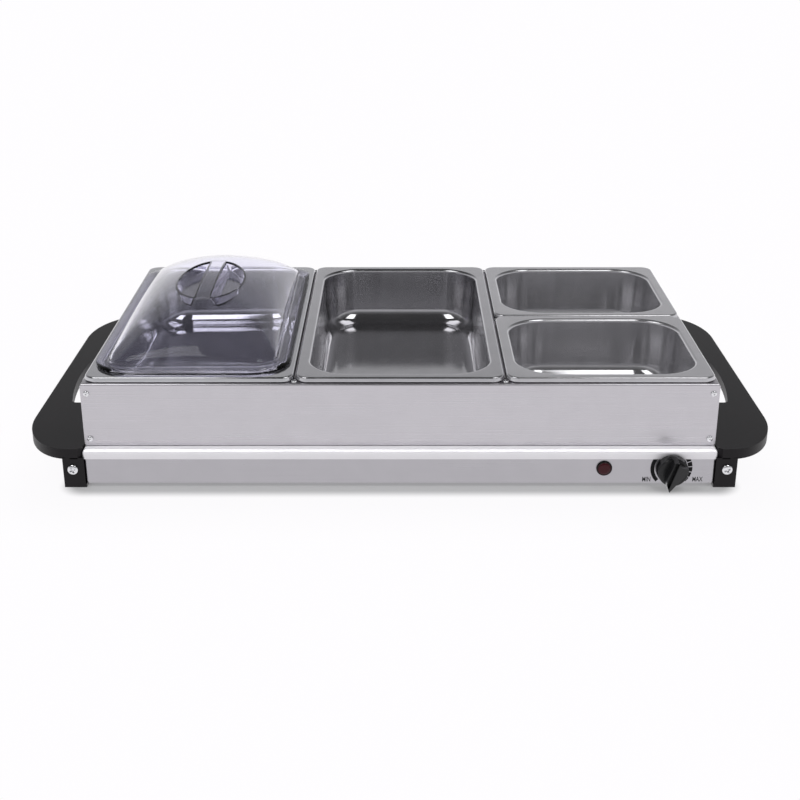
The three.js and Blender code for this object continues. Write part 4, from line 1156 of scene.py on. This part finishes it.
@dataclass
class ControlKnob:
    """The dial: a turned skirt with a pointed grip that has a finger groove on its left."""

    x: float = DIAL_X
    z: float = DIAL_Z
    back: float = -175.2
    thick: float = 8.0
    grip: float = 9.0
    radius: float = 13.4
    top_radius: float = 12.8
    edge: float = 1.6
    edge_steps: int = 5
    grip_edge: float = 0.5
    socket: float = 4.6
    socket_depth: float = 1.5
    steps: int = 72
    rest_turn: float = 18.0
    grip_top: tuple[tuple[float, float], ...] = (
        (0.2, -14.8), (10.4, 6.4), (9.2, 8.4), (1.4, 9.6), (-1.6, 12.4), (-5.0, 12.2),
        (-6.0, -2.8), (-4.4, -8.8),
    )
    foot_growth: float = 1.05
    ridge: float = -0.6
    fall: float = 0.42
    groove: tuple[float, float] = (-4.8, -1.2)
    groove_depth: float = 4.5

    def build(self) -> bpy.types.Object:
        """Makes the knob and dresses it.

        Returns:
            The knob.
        """
        blank = Blank("control_knob_moulding")
        bm = blank.mesh
        face = self.back - self.thick
        edge = (self.top_radius - self.edge, face + self.edge)
        outline = [
            (0.0, self.back + self.socket_depth), (self.socket, self.back + self.socket_depth),
            (self.socket, self.back), (self.radius, self.back),
            *arc(edge, self.edge, 0, -90, self.edge_steps), (0.0, face),
        ]
        spun(bm, outline, BACK, Vector(), self.steps)
        self.raise_grip(bm, face)
        turn = Matrix.Rotation(math.radians(self.rest_turn), 3, "Y")
        bmesh.ops.rotate(bm, cent=Vector(), matrix=turn, verts=bm.verts)
        bmesh.ops.translate(bm, vec=(self.x, 0, self.z), verts=bm.verts)
        return blank.finish(
            Body.CONTROL, Slot.BLACK_PLASTIC, GLOSS_BLACK, ["control_knob"], edge=self.grip_edge)

    def raise_grip(self, bm: BMesh, face: float) -> None:
        """Raises the grip from the skirt's face, slopes it and cuts its groove.

        Args:
            bm: The knob's mesh, its axis on the Y axis.
            face: Where the skirt's face lies along Y.
        """
        known = set(bm.verts)
        growth, top_y = self.foot_growth, face - self.grip
        sole = outlined(bm, [(x * growth, face + self.edge, z * growth) for x, z in self.grip_top])
        raised, _ = draw_out(bm, [sole], FRONT * self.grip, keep=True)
        for vert in raised:
            vert.co = Vector((vert.co.x / growth, top_y, vert.co.z / growth))
        for at in (*self.groove, self.ridge):
            cut(bm, self.top_faces(bm, known, top_y), RIGHT * at, RIGHT)
        top = self.top_faces(bm, known, top_y)
        low, high = self.groove
        sunk = [item for item in top if low < item.calc_center_median().x < high]
        for vert in {vert for item in top for vert in item.verts}:
            vert.co.y += self.fall * max(0.0, vert.co.x - self.ridge)
        draw_out(bm, sunk, BACK * self.groove_depth)

    def top_faces(self, bm: BMesh, known: set[BMVert], top_y: float) -> list[BMFace]:
        """Finds the faces of the grip's top while it's flat.

        Args:
            bm: The knob's mesh.
            known: The skirt's points.
            top_y: Where the grip's top lies along Y.

        Returns:
            The faces.
        """
        return [
            item for item in bm.faces
            if all(abs(vert.co.y - top_y) < MERGE and vert not in known for vert in item.verts)
        ]


@dataclass
class IndicatorLens:
    """The domed lamp lens beside the dial.

    The flange's outline is given in shares of the wall inwards and of the flange's height.
    """

    x: float = 173.0
    face: float = CONTROL_FACE
    z: float = DIAL_Z
    radius: float = 6.7
    flange: float = 1.3
    flange_edge: tuple[tuple[float, float], ...] = ((0.0, 0.0), (0.0, 0.5), (0.3, 0.85), (0.7, 1.0))
    dome: float = 1.5
    dome_steps: int = 9
    barrel: float = 5.2
    depth: float = 13.0
    wall: float = 1.0
    steps: int = 48

    def build(self) -> bpy.types.Object:
        """Turns the lens and dresses it.

        Returns:
            The lens.
        """
        blank = Blank("indicator_lens_cap")
        inner = self.barrel - self.wall
        outline = [
            (0.0, self.flange - self.wall), (inner, self.flange - self.wall),
            (inner, -self.depth), (self.barrel, -self.depth), (self.barrel, 0.0),
            *((self.radius - inwards, height)
              for inwards, height in shared_out(self.flange_edge, self.wall, self.flange)),
            *((self.barrel * x, self.flange + self.dome * height)
              for x, height in arc((0, 0), 1, 0, 90, self.dome_steps)),
        ]
        spun(blank.mesh, outline, FRONT, Vector(), self.steps)
        place = (self.x, self.face - SEAT_GAP, self.z)
        bmesh.ops.translate(blank.mesh, vec=place, verts=blank.mesh.verts)
        return blank.finish(Body.BASE, Slot.RED_LENS, LENS, ["indicator_lens"])


@dataclass
class HeatScale:
    """The printed scale round the dial: a band of blocks that swells towards the hot end."""

    x: float = DIAL_X
    z: float = DIAL_Z
    face: float = CONTROL_FACE
    ink: float = 0.05
    outer: float = 17.8
    thin: float = 3.2
    covered_from: float = 25.6
    thick: float = 4.0
    start: float = 225.0
    sweep: float = -270.0
    blocks_start: float = 90.0
    blocks: int = 8
    gap: float = 2.4
    piece: float = 6.0
    least_pieces: int = 3
    letters: float = 6.2
    narrow: float = 0.66
    bold: float = 0.07
    low_x: float = 209.4
    high_x: float = 252.8
    letters_z: float = 4.5

    def build(self) -> bpy.types.Object:
        """Prints the scale and its two end words.

        Returns:
            The print.
        """
        blank = Blank("heat_scale_print")
        bm = blank.mesh
        self.band(bm, self.start, self.blocks_start - self.start)
        pitch = (self.start + self.sweep - self.blocks_start) / self.blocks
        for i in range(self.blocks):
            self.band(bm, self.blocks_start + pitch * i - self.gap, pitch + self.gap)
        bmesh.ops.bisect_plane(
            bm, geom=[*bm.faces, *bm.edges, *bm.verts], dist=MERGE,
            plane_co=UP * self.covered_from, plane_no=UP, clear_outer=True)
        self.word(bm, "MIN", self.low_x)
        self.word(bm, "MAX", self.high_x)
        draw_out(bm, bm.faces[:], FRONT * self.ink, keep=True)
        return blank.finish(Body.BASE, Slot.BLACK_PLASTIC, PRINT)

    def band(self, bm: BMesh, start: float, span: float) -> None:
        """Draws a stretch of the band, which swells towards the hot end.

        Args:
            bm: The mesh.
            start: The stretch's first angle in degrees, anticlockwise from the right.
            span: Angle that it covers.
        """
        known = set(bm.verts)
        centre = Vector((self.x, self.face, self.z))
        turned = Matrix.Rotation(math.radians(-start), 3, "Y")
        verts = [
            bmesh.ops.create_vert(bm, co=centre + turned @ (RIGHT * radius))["vert"][0]
            for radius in (self.outer - self.thin, self.outer)
        ]
        edge = bm.edges.new(verts)
        steps = max(self.least_pieces, round(abs(span) / self.piece))
        bmesh.ops.spin(
            bm, geom=[*verts, edge], cent=centre, axis=BACK, angle=math.radians(-span),
            steps=steps, use_merge=False, use_duplicate=False)
        middle = self.outer - self.thin / 2
        for vert in set(bm.verts) - known:
            arm = vert.co - centre
            if arm.length < middle:
                angle = math.degrees(math.atan2(arm.z, arm.x))
                done = ((self.start - angle) % 360) / abs(self.sweep)
                width = self.thin + (self.thick - self.thin) * min(done, 1.0)
                vert.co = centre + arm.normalized() * (self.outer - width)

    def word(self, bm: BMesh, text: str, x: float) -> None:
        """Sets a word on the control face, centred at x.

        Args:
            bm: The mesh.
            text: The word.
            x: The word's middle.
        """
        curve = bpy.data.curves.new(text, "FONT")
        curve.body = text
        curve.size = self.letters
        curve.align_x = "CENTER"
        curve.offset = self.bold
        lettering = bpy.data.objects.new(text, curve)
        data = bpy.data.meshes.new_from_object(lettering)
        stand = Matrix.Translation((x, self.face, self.letters_z))
        upright = Matrix.Rotation(math.radians(90), 4, "X")
        data.transform(stand @ upright @ Matrix.Scale(self.narrow, 4, RIGHT))
        bm.from_mesh(data)
        bpy.data.objects.remove(lettering)
        bpy.data.curves.remove(curve)
        bpy.data.meshes.remove(data)


@dataclass
class CordGland:
    """The inlet gland in the rear wall.

    The flange's shoulder is given in millimetres inwards and in shares of its height.
    """

    x: float = DIAL_X
    y: float = REAR_WALL
    z: float = 14.9
    flange: float = 7.6
    flange_thick: float = 2.2
    shoulder: tuple[tuple[float, float], ...] = ((0.0, 0.55), (0.6, 0.85))
    barrel: float = 5.6
    collar: float = 6.4
    collar_length: float = 3.0
    bore: float = 3.6
    bore_chamfer: float = 0.5
    inside: float = -1.1
    steps: int = 40

    def build(self) -> bpy.types.Object:
        """Turns the gland and dresses it.

        Returns:
            The gland.
        """
        blank = Blank("cord_gland_moulding")
        outer = self.flange_thick + SEAT_GAP
        outline = [
            (self.bore, self.inside - self.collar_length),
            (self.barrel, self.inside - self.collar_length), (self.collar, self.inside),
            (self.barrel, self.inside), (self.barrel, SEAT_GAP), (self.flange, SEAT_GAP),
            *((self.flange - inwards, outer * share) for inwards, share in self.shoulder),
            (self.barrel, outer), (self.bore + self.bore_chamfer, outer),
            (self.bore, outer - self.bore_chamfer), (self.bore, self.inside - self.collar_length),
        ]
        spun(blank.mesh, outline, BACK, Vector(), self.steps)
        bmesh.ops.translate(blank.mesh, vec=(self.x, self.y, self.z), verts=blank.mesh.verts)
        return blank.finish(Body.BASE, Slot.BLACK_PLASTIC, BLACK, ["cord_gland"])


@dataclass
class ClearLid:
    """The vaulted lid with two finger pockets beside a grip bar.

    Its plan is a rounded rectangle, the foot line, at which the dome stands on the flat rim.
    """

    x: float = -PAN_PITCH
    seat: float = 95.2
    width: float = 167.0
    length: float = 311.0
    corner: float = 32.0
    rim: float = 11.3
    thick: float = 2.0
    foot: float = 2.4
    foot_start: float = 195.0
    foot_steps: int = 6
    rise: float = 34.6
    arch_power: float = 1.8
    end_power: float = 2.1
    corner_power: int = 8
    grip_half: float = 30.4
    grip_reach: float = 58.4
    bar_half: float = 7.4
    pocket_depth: float = 12.0
    pocket_lean: float = 4.5
    pocket_sides: int = 40
    pocket_foot_round: float = 2.6
    pocket_brim_round: float = 1.8
    round_steps: int = 5
    segments: int = 160
    rings: int = 22
    bar_steps: int = 24

    @property
    def foot_half(self) -> Vector:
        """Half width and length of the dome at its foot."""
        return Vector((self.width / 2 - self.rim, self.length / 2 - self.rim))

    def corner_centre(self, point: Vector) -> Vector:
        """Centre of the foot line's corner that is nearest to a point."""
        inner = self.foot_half - Vector((self.corner - self.rim,) * 2)
        return Vector((math.copysign(inner.x, point.x), math.copysign(inner.y, point.y)))

    def foot_point(self, way: Vector) -> Vector:
        """Finds where a ray from the middle meets the foot line.

        Args:
            way: The ray's direction in plan.

        Returns:
            The point in plan.
        """
        half = self.foot_half
        corner = self.corner - self.rim
        unit = way.normalized()
        reach = min(half.x / max(abs(unit.x), TINY), half.y / max(abs(unit.y), TINY))
        point = unit * reach
        centre = self.corner_centre(unit)
        if abs(point.x) > abs(centre.x) and abs(point.y) > abs(centre.y):
            along = unit.dot(centre)
            reach = along + math.sqrt(along * along - centre.dot(centre) + corner * corner)
            point = unit * reach
        return point

    def dome_height(self, x: float, y: float) -> float:
        """Works out how high the dome is above the lid's seat.

        Args:
            x: Place across the lid.
            y: Place along it.

        Returns:
            The height.
        """
        place = Vector((x, y))
        half = self.foot_half
        across, along = abs(x / half.x), abs(y / half.y)
        if place.length > MERGE:
            out = place.length / self.foot_point(place).length
            corner_pull = 1 + (out / max(across, along) - 1) * out ** self.corner_power
            across, along = across * corner_pull, along * corner_pull
        arch = max(0.0, 1 - across ** self.arch_power) ** (1 / self.arch_power)
        end = max(0.0, 1 - along ** self.end_power) ** (1 / self.end_power)
        return self.thick + self.foot + self.rise * arch * end

    def build(self) -> bpy.types.Object:
        """Forms the lid and dresses it.

        Returns:
            The lid.
        """
        blank = Blank("clear_lid")
        bm = blank.mesh
        made = bmesh.ops.create_circle(bm, cap_ends=True, segments=self.segments, radius=1)
        size = (self.grip_half, self.grip_reach, 1)
        bmesh.ops.scale(bm, vec=size, verts=made["verts"])
        self.part_bar(bm)
        rim = [edge for edge in bm.edges if edge.is_boundary]
        starts = {}
        for k in range(1, self.rings + 1):
            rim = self.widen(bm, rim, math.sin(math.pi / 2 * k / self.rings), starts)
        for vert in bm.verts:
            vert.co.z = self.dome_height(vert.co.x, vert.co.y)
        self.draw_rim(bm, rim)
        self.sink_pockets(bm)
        bmesh.ops.translate(bm, vec=(self.x, 0, self.seat), verts=bm.verts)
        return blank.finish(
            Body.LID, Slot.CLEAR_PLASTIC, CLEAR, ["lid"], facing=UP, sheet=self.thick)

    def part_bar(self, bm: BMesh) -> None:
        """Cuts the grip's oval into the bar and a pocket at each side of it.

        Args:
            bm: The lid's mesh, so far the oval.
        """
        sides = (-self.bar_half, self.bar_half)
        for at in sides:
            cut(bm, bm.faces[:], RIGHT * at, RIGHT)
        long_edges = [edge for edge in bm.edges if not edge.is_boundary]
        bmesh.ops.subdivide_edges(bm, edges=long_edges, cuts=self.bar_steps)
        rows = []
        for at in sides:
            row = [vert for vert in bm.verts
                   if abs(vert.co.x - at) < MERGE and not vert.is_boundary]
            rows.append(sorted(row, key=lambda vert: vert.co.y))
        for pair in zip(*rows):
            bmesh.ops.connect_verts(bm, verts=list(pair))

    def widen(
        self,
        bm: BMesh,
        rim: list[BMEdge],
        share: float,
        starts: dict[tuple[float, float], Vector],
    ) -> list[BMEdge]:
        """Pulls the next ring of the dome, between the grip's oval and the foot line.

        Args:
            bm: The lid's mesh.
            rim: The present outer ring.
            share: Share of the way from the oval to the foot line.
            starts: The oval's point behind each point of the outer ring, brought up to date.

        Returns:
            The new ring's edges.
        """
        known = dict(starts)
        starts.clear()

        def move(point: Vector) -> Vector:
            """Moves a point of the ring on its way to the foot line, and remembers its start.

            Args:
                point: The point.

            Returns:
                The point's new place.
            """
            start = known.get(self.key(point), point.xy)
            place = start.lerp(self.foot_point(start), share).to_3d()
            starts[self.key(place)] = start
            return place

        return pull(bm, rim, move)

    def key(self, point: Vector) -> tuple[float, float]:
        """A point's place in plan, rounded so that it can be looked up."""
        return (round(point.x, 4), round(point.y, 4))

    def draw_rim(self, bm: BMesh, rim: list[BMEdge]) -> None:
        """Pulls the dome's upright foot and the flat rim.

        Args:
            bm: The lid's mesh.
            rim: The dome's foot line.
        """
        bend = self.foot
        turn = arc((0, 0), bend, self.foot_start, 270, self.foot_steps)
        section = [(bend + x, self.thick + bend + z) for x, z in turn]
        last = 0.0
        for beyond, height in (*section, (self.rim, self.thick)):
            move = functools.partial(self.moved_out, change=beyond - last, height=height)
            rim = pull(bm, rim, move)
            last = beyond

    def moved_out(self, point: Vector, change: float, height: float) -> Vector:
        """Moves a point of the rim square to its outline, and to a height.

        Args:
            point: The point.
            change: How far it moves out.
            height: Its new height.

        Returns:
            The point's new place.
        """
        flat, centre = point.xy, self.corner_centre(point)
        out = Vector((0, math.copysign(1, flat.y)))
        if abs(flat.x) > abs(centre.x):
            out = Vector((math.copysign(1, flat.x), 0))
            if abs(flat.y) > abs(centre.y):
                out = (flat - centre).normalized()
        flat += out * change
        return Vector((flat.x, flat.y, height))

    def sink_pockets(self, bm: BMesh) -> None:
        """Sinks the two pockets and rounds their edges.

        Args:
            bm: The lid's mesh.
        """
        floor_z = self.thick + self.foot + self.rise - self.pocket_depth
        half = (self.grip_half - self.bar_half) / 2
        rounded = []
        for side in (-1, 1):
            pocket = [face for face in bm.faces if len(face.verts) > self.pocket_sides
                      and face.calc_center_median().x * side > 0]
            verts, floor = draw_out(bm, pocket, Vector())
            middle = side * (self.bar_half + self.grip_half) / 2
            for vert in verts:
                x = middle + (vert.co.x - middle) * (1 - self.pocket_lean / half)
                y = vert.co.y * (1 - self.pocket_lean / self.grip_reach)
                vert.co = Vector((x, y, floor_z))
            foot = dict.fromkeys(edge for face in floor for edge in face.edges)
            walls = dict.fromkeys(
                face for edge in foot for face in edge.link_faces if face not in floor)
            brim = dict.fromkeys(
                edge for face in walls for edge in face.edges
                if edge not in foot and not all(link in walls for link in edge.link_faces))
            rounded += [(foot, self.pocket_foot_round), (brim, self.pocket_brim_round)]
        for edges, radius in rounded:
            bmesh.ops.bevel(
                bm, geom=list(edges), offset=radius, offset_type="OFFSET",
                segments=self.round_steps, profile=0.5, affect="EDGES", material=-1,
                clamp_overlap=True)


@dataclass
class CarriedNodes:
    """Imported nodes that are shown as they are, and their finishes."""

    finishes: tuple[tuple[Finish | ClearPlastic, tuple[str, ...]], ...] = (
        (BRUSHED, ("frame_front_panel", "frame_back_panel", "cross_bar")),
        (HOUSING_PAINTED_SHADE, ("base_housing",)),
        (BRUSHED_SIDE, ("frame_left_panel", "frame_right_panel", "divider_bar_left",
                        "divider_bar_right")),
        (ZINC, ("bottom_plate", "heat_shield", "element_clamp_left", "element_clamp_right",
                "handle_bracket_left", "handle_bracket_right", "indicator_clip")),
        (SHEATH, ("heating_element",)),
        (CERAMIC, ("thermostat",)),
        (BRIGHT, ("thermostat_shaft",)),
        (WHITE, ("terminal_block",)),
        (SLEEVE, ("lead_supply", "lead_element_front", "lead_element_back")),
        (GLASS, ("indicator_lamp",)),
    )

    def dress(self) -> None:
        """Gives every carried node its finish."""
        for finish, names in self.finishes:
            for name in names:
                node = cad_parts[name]
                node.data.materials.clear()
                node.data.materials.append(dressed(finish))
                LOG.info("%s: packed node in %s", name, finish.name)


@dataclass(frozen=True)
class SoftBox:
    """A rectangular lamp, tilted from straight down to the back by some degrees."""

    name: str
    place: tuple[float, float, float]
    size: tuple[float, float]
    power: float
    tilt: float
    glossy: bool = True
    only: tuple[str, ...] = ()

    def hang(self) -> None:
        """Hangs the lamp and keeps its light to its pieces, if it has any."""
        lamp = bpy.data.lights.new(self.name, "AREA")
        lamp.shape = "RECTANGLE"
        lamp.size, lamp.size_y = self.size
        lamp.energy = self.power
        holder = bpy.data.objects.new(self.name, lamp)
        holder.location = self.place
        holder.rotation_euler = (math.radians(self.tilt), 0, 0)
        holder.visible_glossy = self.glossy
        bpy.context.scene.collection.objects.link(holder)
        if self.only:
            group = bpy.data.collections.new(f"{self.name}_pieces")
            for name in self.only:
                group.objects.link(bpy.data.objects[name])
            holder.light_linking.receiver_collection = group


@dataclass
class Studio:
    """White floor, dark ceiling and the camera that took the picture.

    Two soft boxes light the whole object, and two long lamps only its warming plate, whose
    front ledge is the brightest line in the picture. Sizes are in metres, footprints as the
    middle along Y with the half width and length.
    """

    camera_place: tuple[float, float, float] = (0.0, -1.1737, 0.49208)
    camera_pitch: float = 22.268
    lens: float = 59.1
    lamps: tuple[SoftBox, ...] = (
        SoftBox("left_box", (-0.62, -0.45, 1.25), (0.62, 0.95), 5.5, 8.0),
        SoftBox("right_box", (0.62, -0.45, 1.25), (0.62, 0.95), 5.5, 8.0),
        SoftBox(
            "ledge_light", (0.0, -0.40, 1.9), (3.2, 1.0), 72.0, 6.0, glossy=False,
            only=("warming_plate",)),
        SoftBox(
            "edge_light", (0.0, -0.9, 1.9), (3.2, 1.0), 12.0, 22.0, only=("warming_plate",)),
    )
    floor_half: float = 9.0
    # Grey of the floor close to the object: painted shadow, which also takes the real shadow.
    painted_shadow_colour: Colour = (0.42, 0.42, 0.43, 1)
    floor_roughness: float = 0.9
    floor_white: Colour = (0.995, 0.985, 1.0, 1)
    # Painted shadow: round these footprints the white floor gives way to the grey one.
    footprints: tuple[tuple[float, tuple[float, float]], ...] = (
        (0.00725, (0.262, 0.170)),
        (-0.153, (0.266, 0.010)),
    )
    shadow_near: float = 0.010
    shadow_far: float = 0.026
    shadow_glow: float = 0.20
    # A faint painted halo of shade, out to this distance from the footprints.
    painted_halo_far: float = 0.11
    painted_halo_shade: float = 0.05
    room_strength: float = 1.0
    room_blue: float = 1.02
    room_greys: tuple[tuple[float, float], ...] = (
        (0.05, 1.0), (0.38, 0.50), (0.55, 0.16), (0.8, 0.04),
    )
    front_dark: float = 0.06

    def build(self) -> None:
        """Sets up everything round the object."""
        self.lay_floor()
        self.light_world()
        for lamp in self.lamps:
            lamp.hang()
        self.place_camera()
        bpy.context.scene.view_settings.view_transform = "Standard"

    def lay_floor(self) -> None:
        """Lays a floor that is plain white but for a painted shadow: grey near the object, where it
        also takes the real shadow, and a faint painted halo of shade round that.
        """
        bm = bmesh.new()
        bmesh.ops.create_grid(bm, x_segments=1, y_segments=1, size=self.floor_half)
        data = bpy.data.meshes.new("floor")
        bm.to_mesh(data)
        bm.free()
        floor = bpy.data.objects.new("floor", data)
        bpy.context.scene.collection.objects.link(floor)
        bench = NodeBench("floor_white")
        shaded = bench.shader.inputs
        shaded["Base Color"].default_value = self.painted_shadow_colour
        shaded["Roughness"].default_value = self.floor_roughness
        shaded["Emission Color"].default_value = (1, 1, 1, 1)
        # The grey floor glows a little, painted light that keeps the shadow on it pale.
        shaded["Emission Strength"].default_value = self.shadow_glow
        reach = bench.reckon("MINIMUM", *(
            self.distance_outside(bench, middle, half) for middle, half in self.footprints))
        # The near ring paints the shadow, the far one the faint painted halo of shade.
        rings = []
        for far, start in ((self.shadow_far, 0.0), (self.painted_halo_far, 1 - self.painted_halo_shade)):
            ring = bench.add(
                "ShaderNodeMapRange", From_Min=self.shadow_near, From_Max=far, To_Min=start,
                To_Max=1.0)
            ring.interpolation_type = "SMOOTHSTEP"
            bench.join(reach, ring.inputs["Value"])
            rings.append(ring.outputs["Result"])
        path = bench.add("ShaderNodeLightPath")
        whiteness = bench.reckon(
            "MAXIMUM", bench.reckon("MULTIPLY", *rings), path.outputs["Is Glossy Ray"])
        glow = bench.add("ShaderNodeEmission", Color=self.floor_white, Strength=1.0)
        bench.lay_over(whiteness, glow.outputs["Emission"])
        data.materials.append(bench.material)

    def distance_outside(
        self, bench: NodeBench, middle: float, half: tuple[float, float]
    ) -> bpy.types.NodeSocket:
        """Lays nodes that give a floor point's distance outside a footprint.

        Args:
            bench: The floor's nodes.
            middle: The footprint's middle along Y.
            half: Its half width and length.

        Returns:
            The distance in metres, 0 inside the footprint.
        """
        value = bench.add("ShaderNodeTexCoord").outputs["Object"]
        for operation, operand in (
            ("SUBTRACT", (0.0, middle, 0.0)),
            ("ABSOLUTE", None),
            ("SUBTRACT", (*half, 0.0)),
            ("MAXIMUM", (0.0, 0.0, 0.0)),
            ("LENGTH", None),
        ):
            value = bench.vector(operation, value, operand)
        return value

    def light_world(self) -> None:
        """Makes a room that is white at the horizon, dark overhead and darker in front."""
        world = bpy.data.worlds.new("studio")
        bpy.context.scene.world = world
        world.use_nodes = True
        tree = world.node_tree
        tree.nodes.clear()
        output, room, place, split, ramp, ahead, reach = (
            tree.nodes.new(f"ShaderNode{kind}") for kind in (
                "OutputWorld", "Background", "TexCoord", "SeparateXYZ", "ValToRGB", "Math", "Math"))
        ramp.color_ramp.interpolation = "EASE"
        for position, grey in self.room_greys:
            stop = ramp.color_ramp.elements.new(position)
            stop.color = (grey, grey, grey * self.room_blue, 1)
        ramp.color_ramp.elements.remove(ramp.color_ramp.elements[0])
        ramp.color_ramp.elements.remove(ramp.color_ramp.elements[-1])
        room.inputs["Strength"].default_value = self.room_strength
        ahead.operation = "MULTIPLY"
        ahead.use_clamp = True
        ahead.inputs[1].default_value = -self.front_dark
        for source, target in (
            (place.outputs["Generated"], split.inputs["Vector"]),
            (split.outputs["Y"], ahead.inputs[0]),
            (ahead.outputs["Value"], reach.inputs[0]),
            (split.outputs["Z"], reach.inputs[1]),
            (reach.outputs["Value"], ramp.inputs["Fac"]),
            (ramp.outputs["Color"], room.inputs["Color"]),
            (room.outputs["Background"], output.inputs["Surface"]),
        ):
            tree.links.new(source, target)

    def place_camera(self) -> None:
        """Puts the camera where the picture was taken from."""
        data = bpy.data.cameras.new("camera")
        data.lens = self.lens
        camera = bpy.data.objects.new("camera", data)
        camera.location = self.camera_place
        camera.rotation_euler = (math.radians(90 - self.camera_pitch), 0, 0)
        bpy.context.scene.collection.objects.link(camera)
        bpy.context.scene.camera = camera


def food_pans() -> list[FoodPan]:
    """Places the four pans, the covered one brightest and the small ones dullest: both take paler
    copies of the pressed steel, which is painted light.

    Returns:
        The pans.
    """
    long, short = 325, 162
    right, covered, small = PAN_PITCH, PRESSED_COVERED_LIT, PRESSED_SMALL_LIT
    return [
        FoodPan("pan_left_shell", Body.PAN_LEFT, "food_pan_left", -right, 0, long, covered),
        FoodPan("pan_middle_shell", Body.PAN_MIDDLE, "food_pan_middle", 0, 0, long),
        FoodPan("pan_front_shell", Body.PAN_FRONT, "food_pan_front", right, -SMALL_PAN_Y, short,
                small),
        FoodPan("pan_back_shell", Body.PAN_BACK, "food_pan_back", right, SMALL_PAN_Y, short, small),
    ]


@dataclass
class Fasteners:
    """The rivets of the frame and the screws of the base, each set mirrored to four corners."""

    frame_rivet: tuple[float, float] = (262.0, 165.2)
    frame_rivet_heights: tuple[tuple[str, float], ...] = (("low", 40.7), ("high", 81.5))
    bar_rivet: tuple[float, float] = (88.5, 159.8)
    bar_top: float = 90.5
    cross_bar_rivets: tuple[tuple[str, float], ...] = (("left", 91.5), ("right", 261.9))
    handle_screw: tuple[float, float, float] = (276.65, 175.3, 16.7)
    bottom_screw: tuple[float, float, float] = (204.9, 165.1, 3.0)

    def corners(self) -> Iterable[tuple[str, Vector]]:
        """Each corner's name and the signs that mirror a place into it."""
        return [(f"{end}_{hand}", Vector((x, y, 1))) for end, y in ENDS for hand, x in HANDS]

    def rivets(self) -> list[Rivet]:
        """Places the rivets at the frame's corners and on its bars.

        Returns:
            The rivets.
        """
        found = []
        for corner, mirror in self.corners():
            for level, height in self.frame_rivet_heights:
                place = Vector((*self.frame_rivet, height)) * mirror
                found.append(Rivet(f"frame_rivet_{corner}_{level}", place, BACK * mirror))
            place = Vector((*self.bar_rivet, self.bar_top)) * mirror
            found.append(Rivet(f"bar_rivet_{corner}", place, UP))
        for hand, x in self.cross_bar_rivets:
            found.append(Rivet(f"bar_rivet_cross_{hand}", Vector((x, 0, self.bar_top)), UP))
        return found

    def screws(self) -> list[CrossScrew]:
        """Places the handles' screws and those of the bottom plate.

        Returns:
            The screws.
        """
        found = []
        for corner, mirror in self.corners():
            found.append(CrossScrew(
                f"handle_screw_{corner}", Vector(self.handle_screw) * mirror, BACK * mirror,
                BRIGHT, Slot.BRIGHT_STEEL))
            found.append(CrossScrew(
                f"bottom_screw_{corner}", Vector(self.bottom_screw) * mirror, -UP, ZINC,
                Slot.ZINC_STEEL))
        return found


def main() -> None:
    """Builds the pieces in order, and the studio round them."""
    logging.basicConfig(level=logging.INFO, format="%(message)s")
    CarriedNodes().dress()
    parts = [
        BaseCover(),
        Handle("left", -1),
        Handle("right", 1),
        ControlKnob(),
        IndicatorLens(),
        HeatScale(),
        CordGland(),
        *food_pans(),
        *Fasteners().rivets(),
        *Fasteners().screws(),
        ClearLid(),
    ]
    for part in parts:
        part.build()
    Studio().build()


if __name__ == "__main__":
    main()
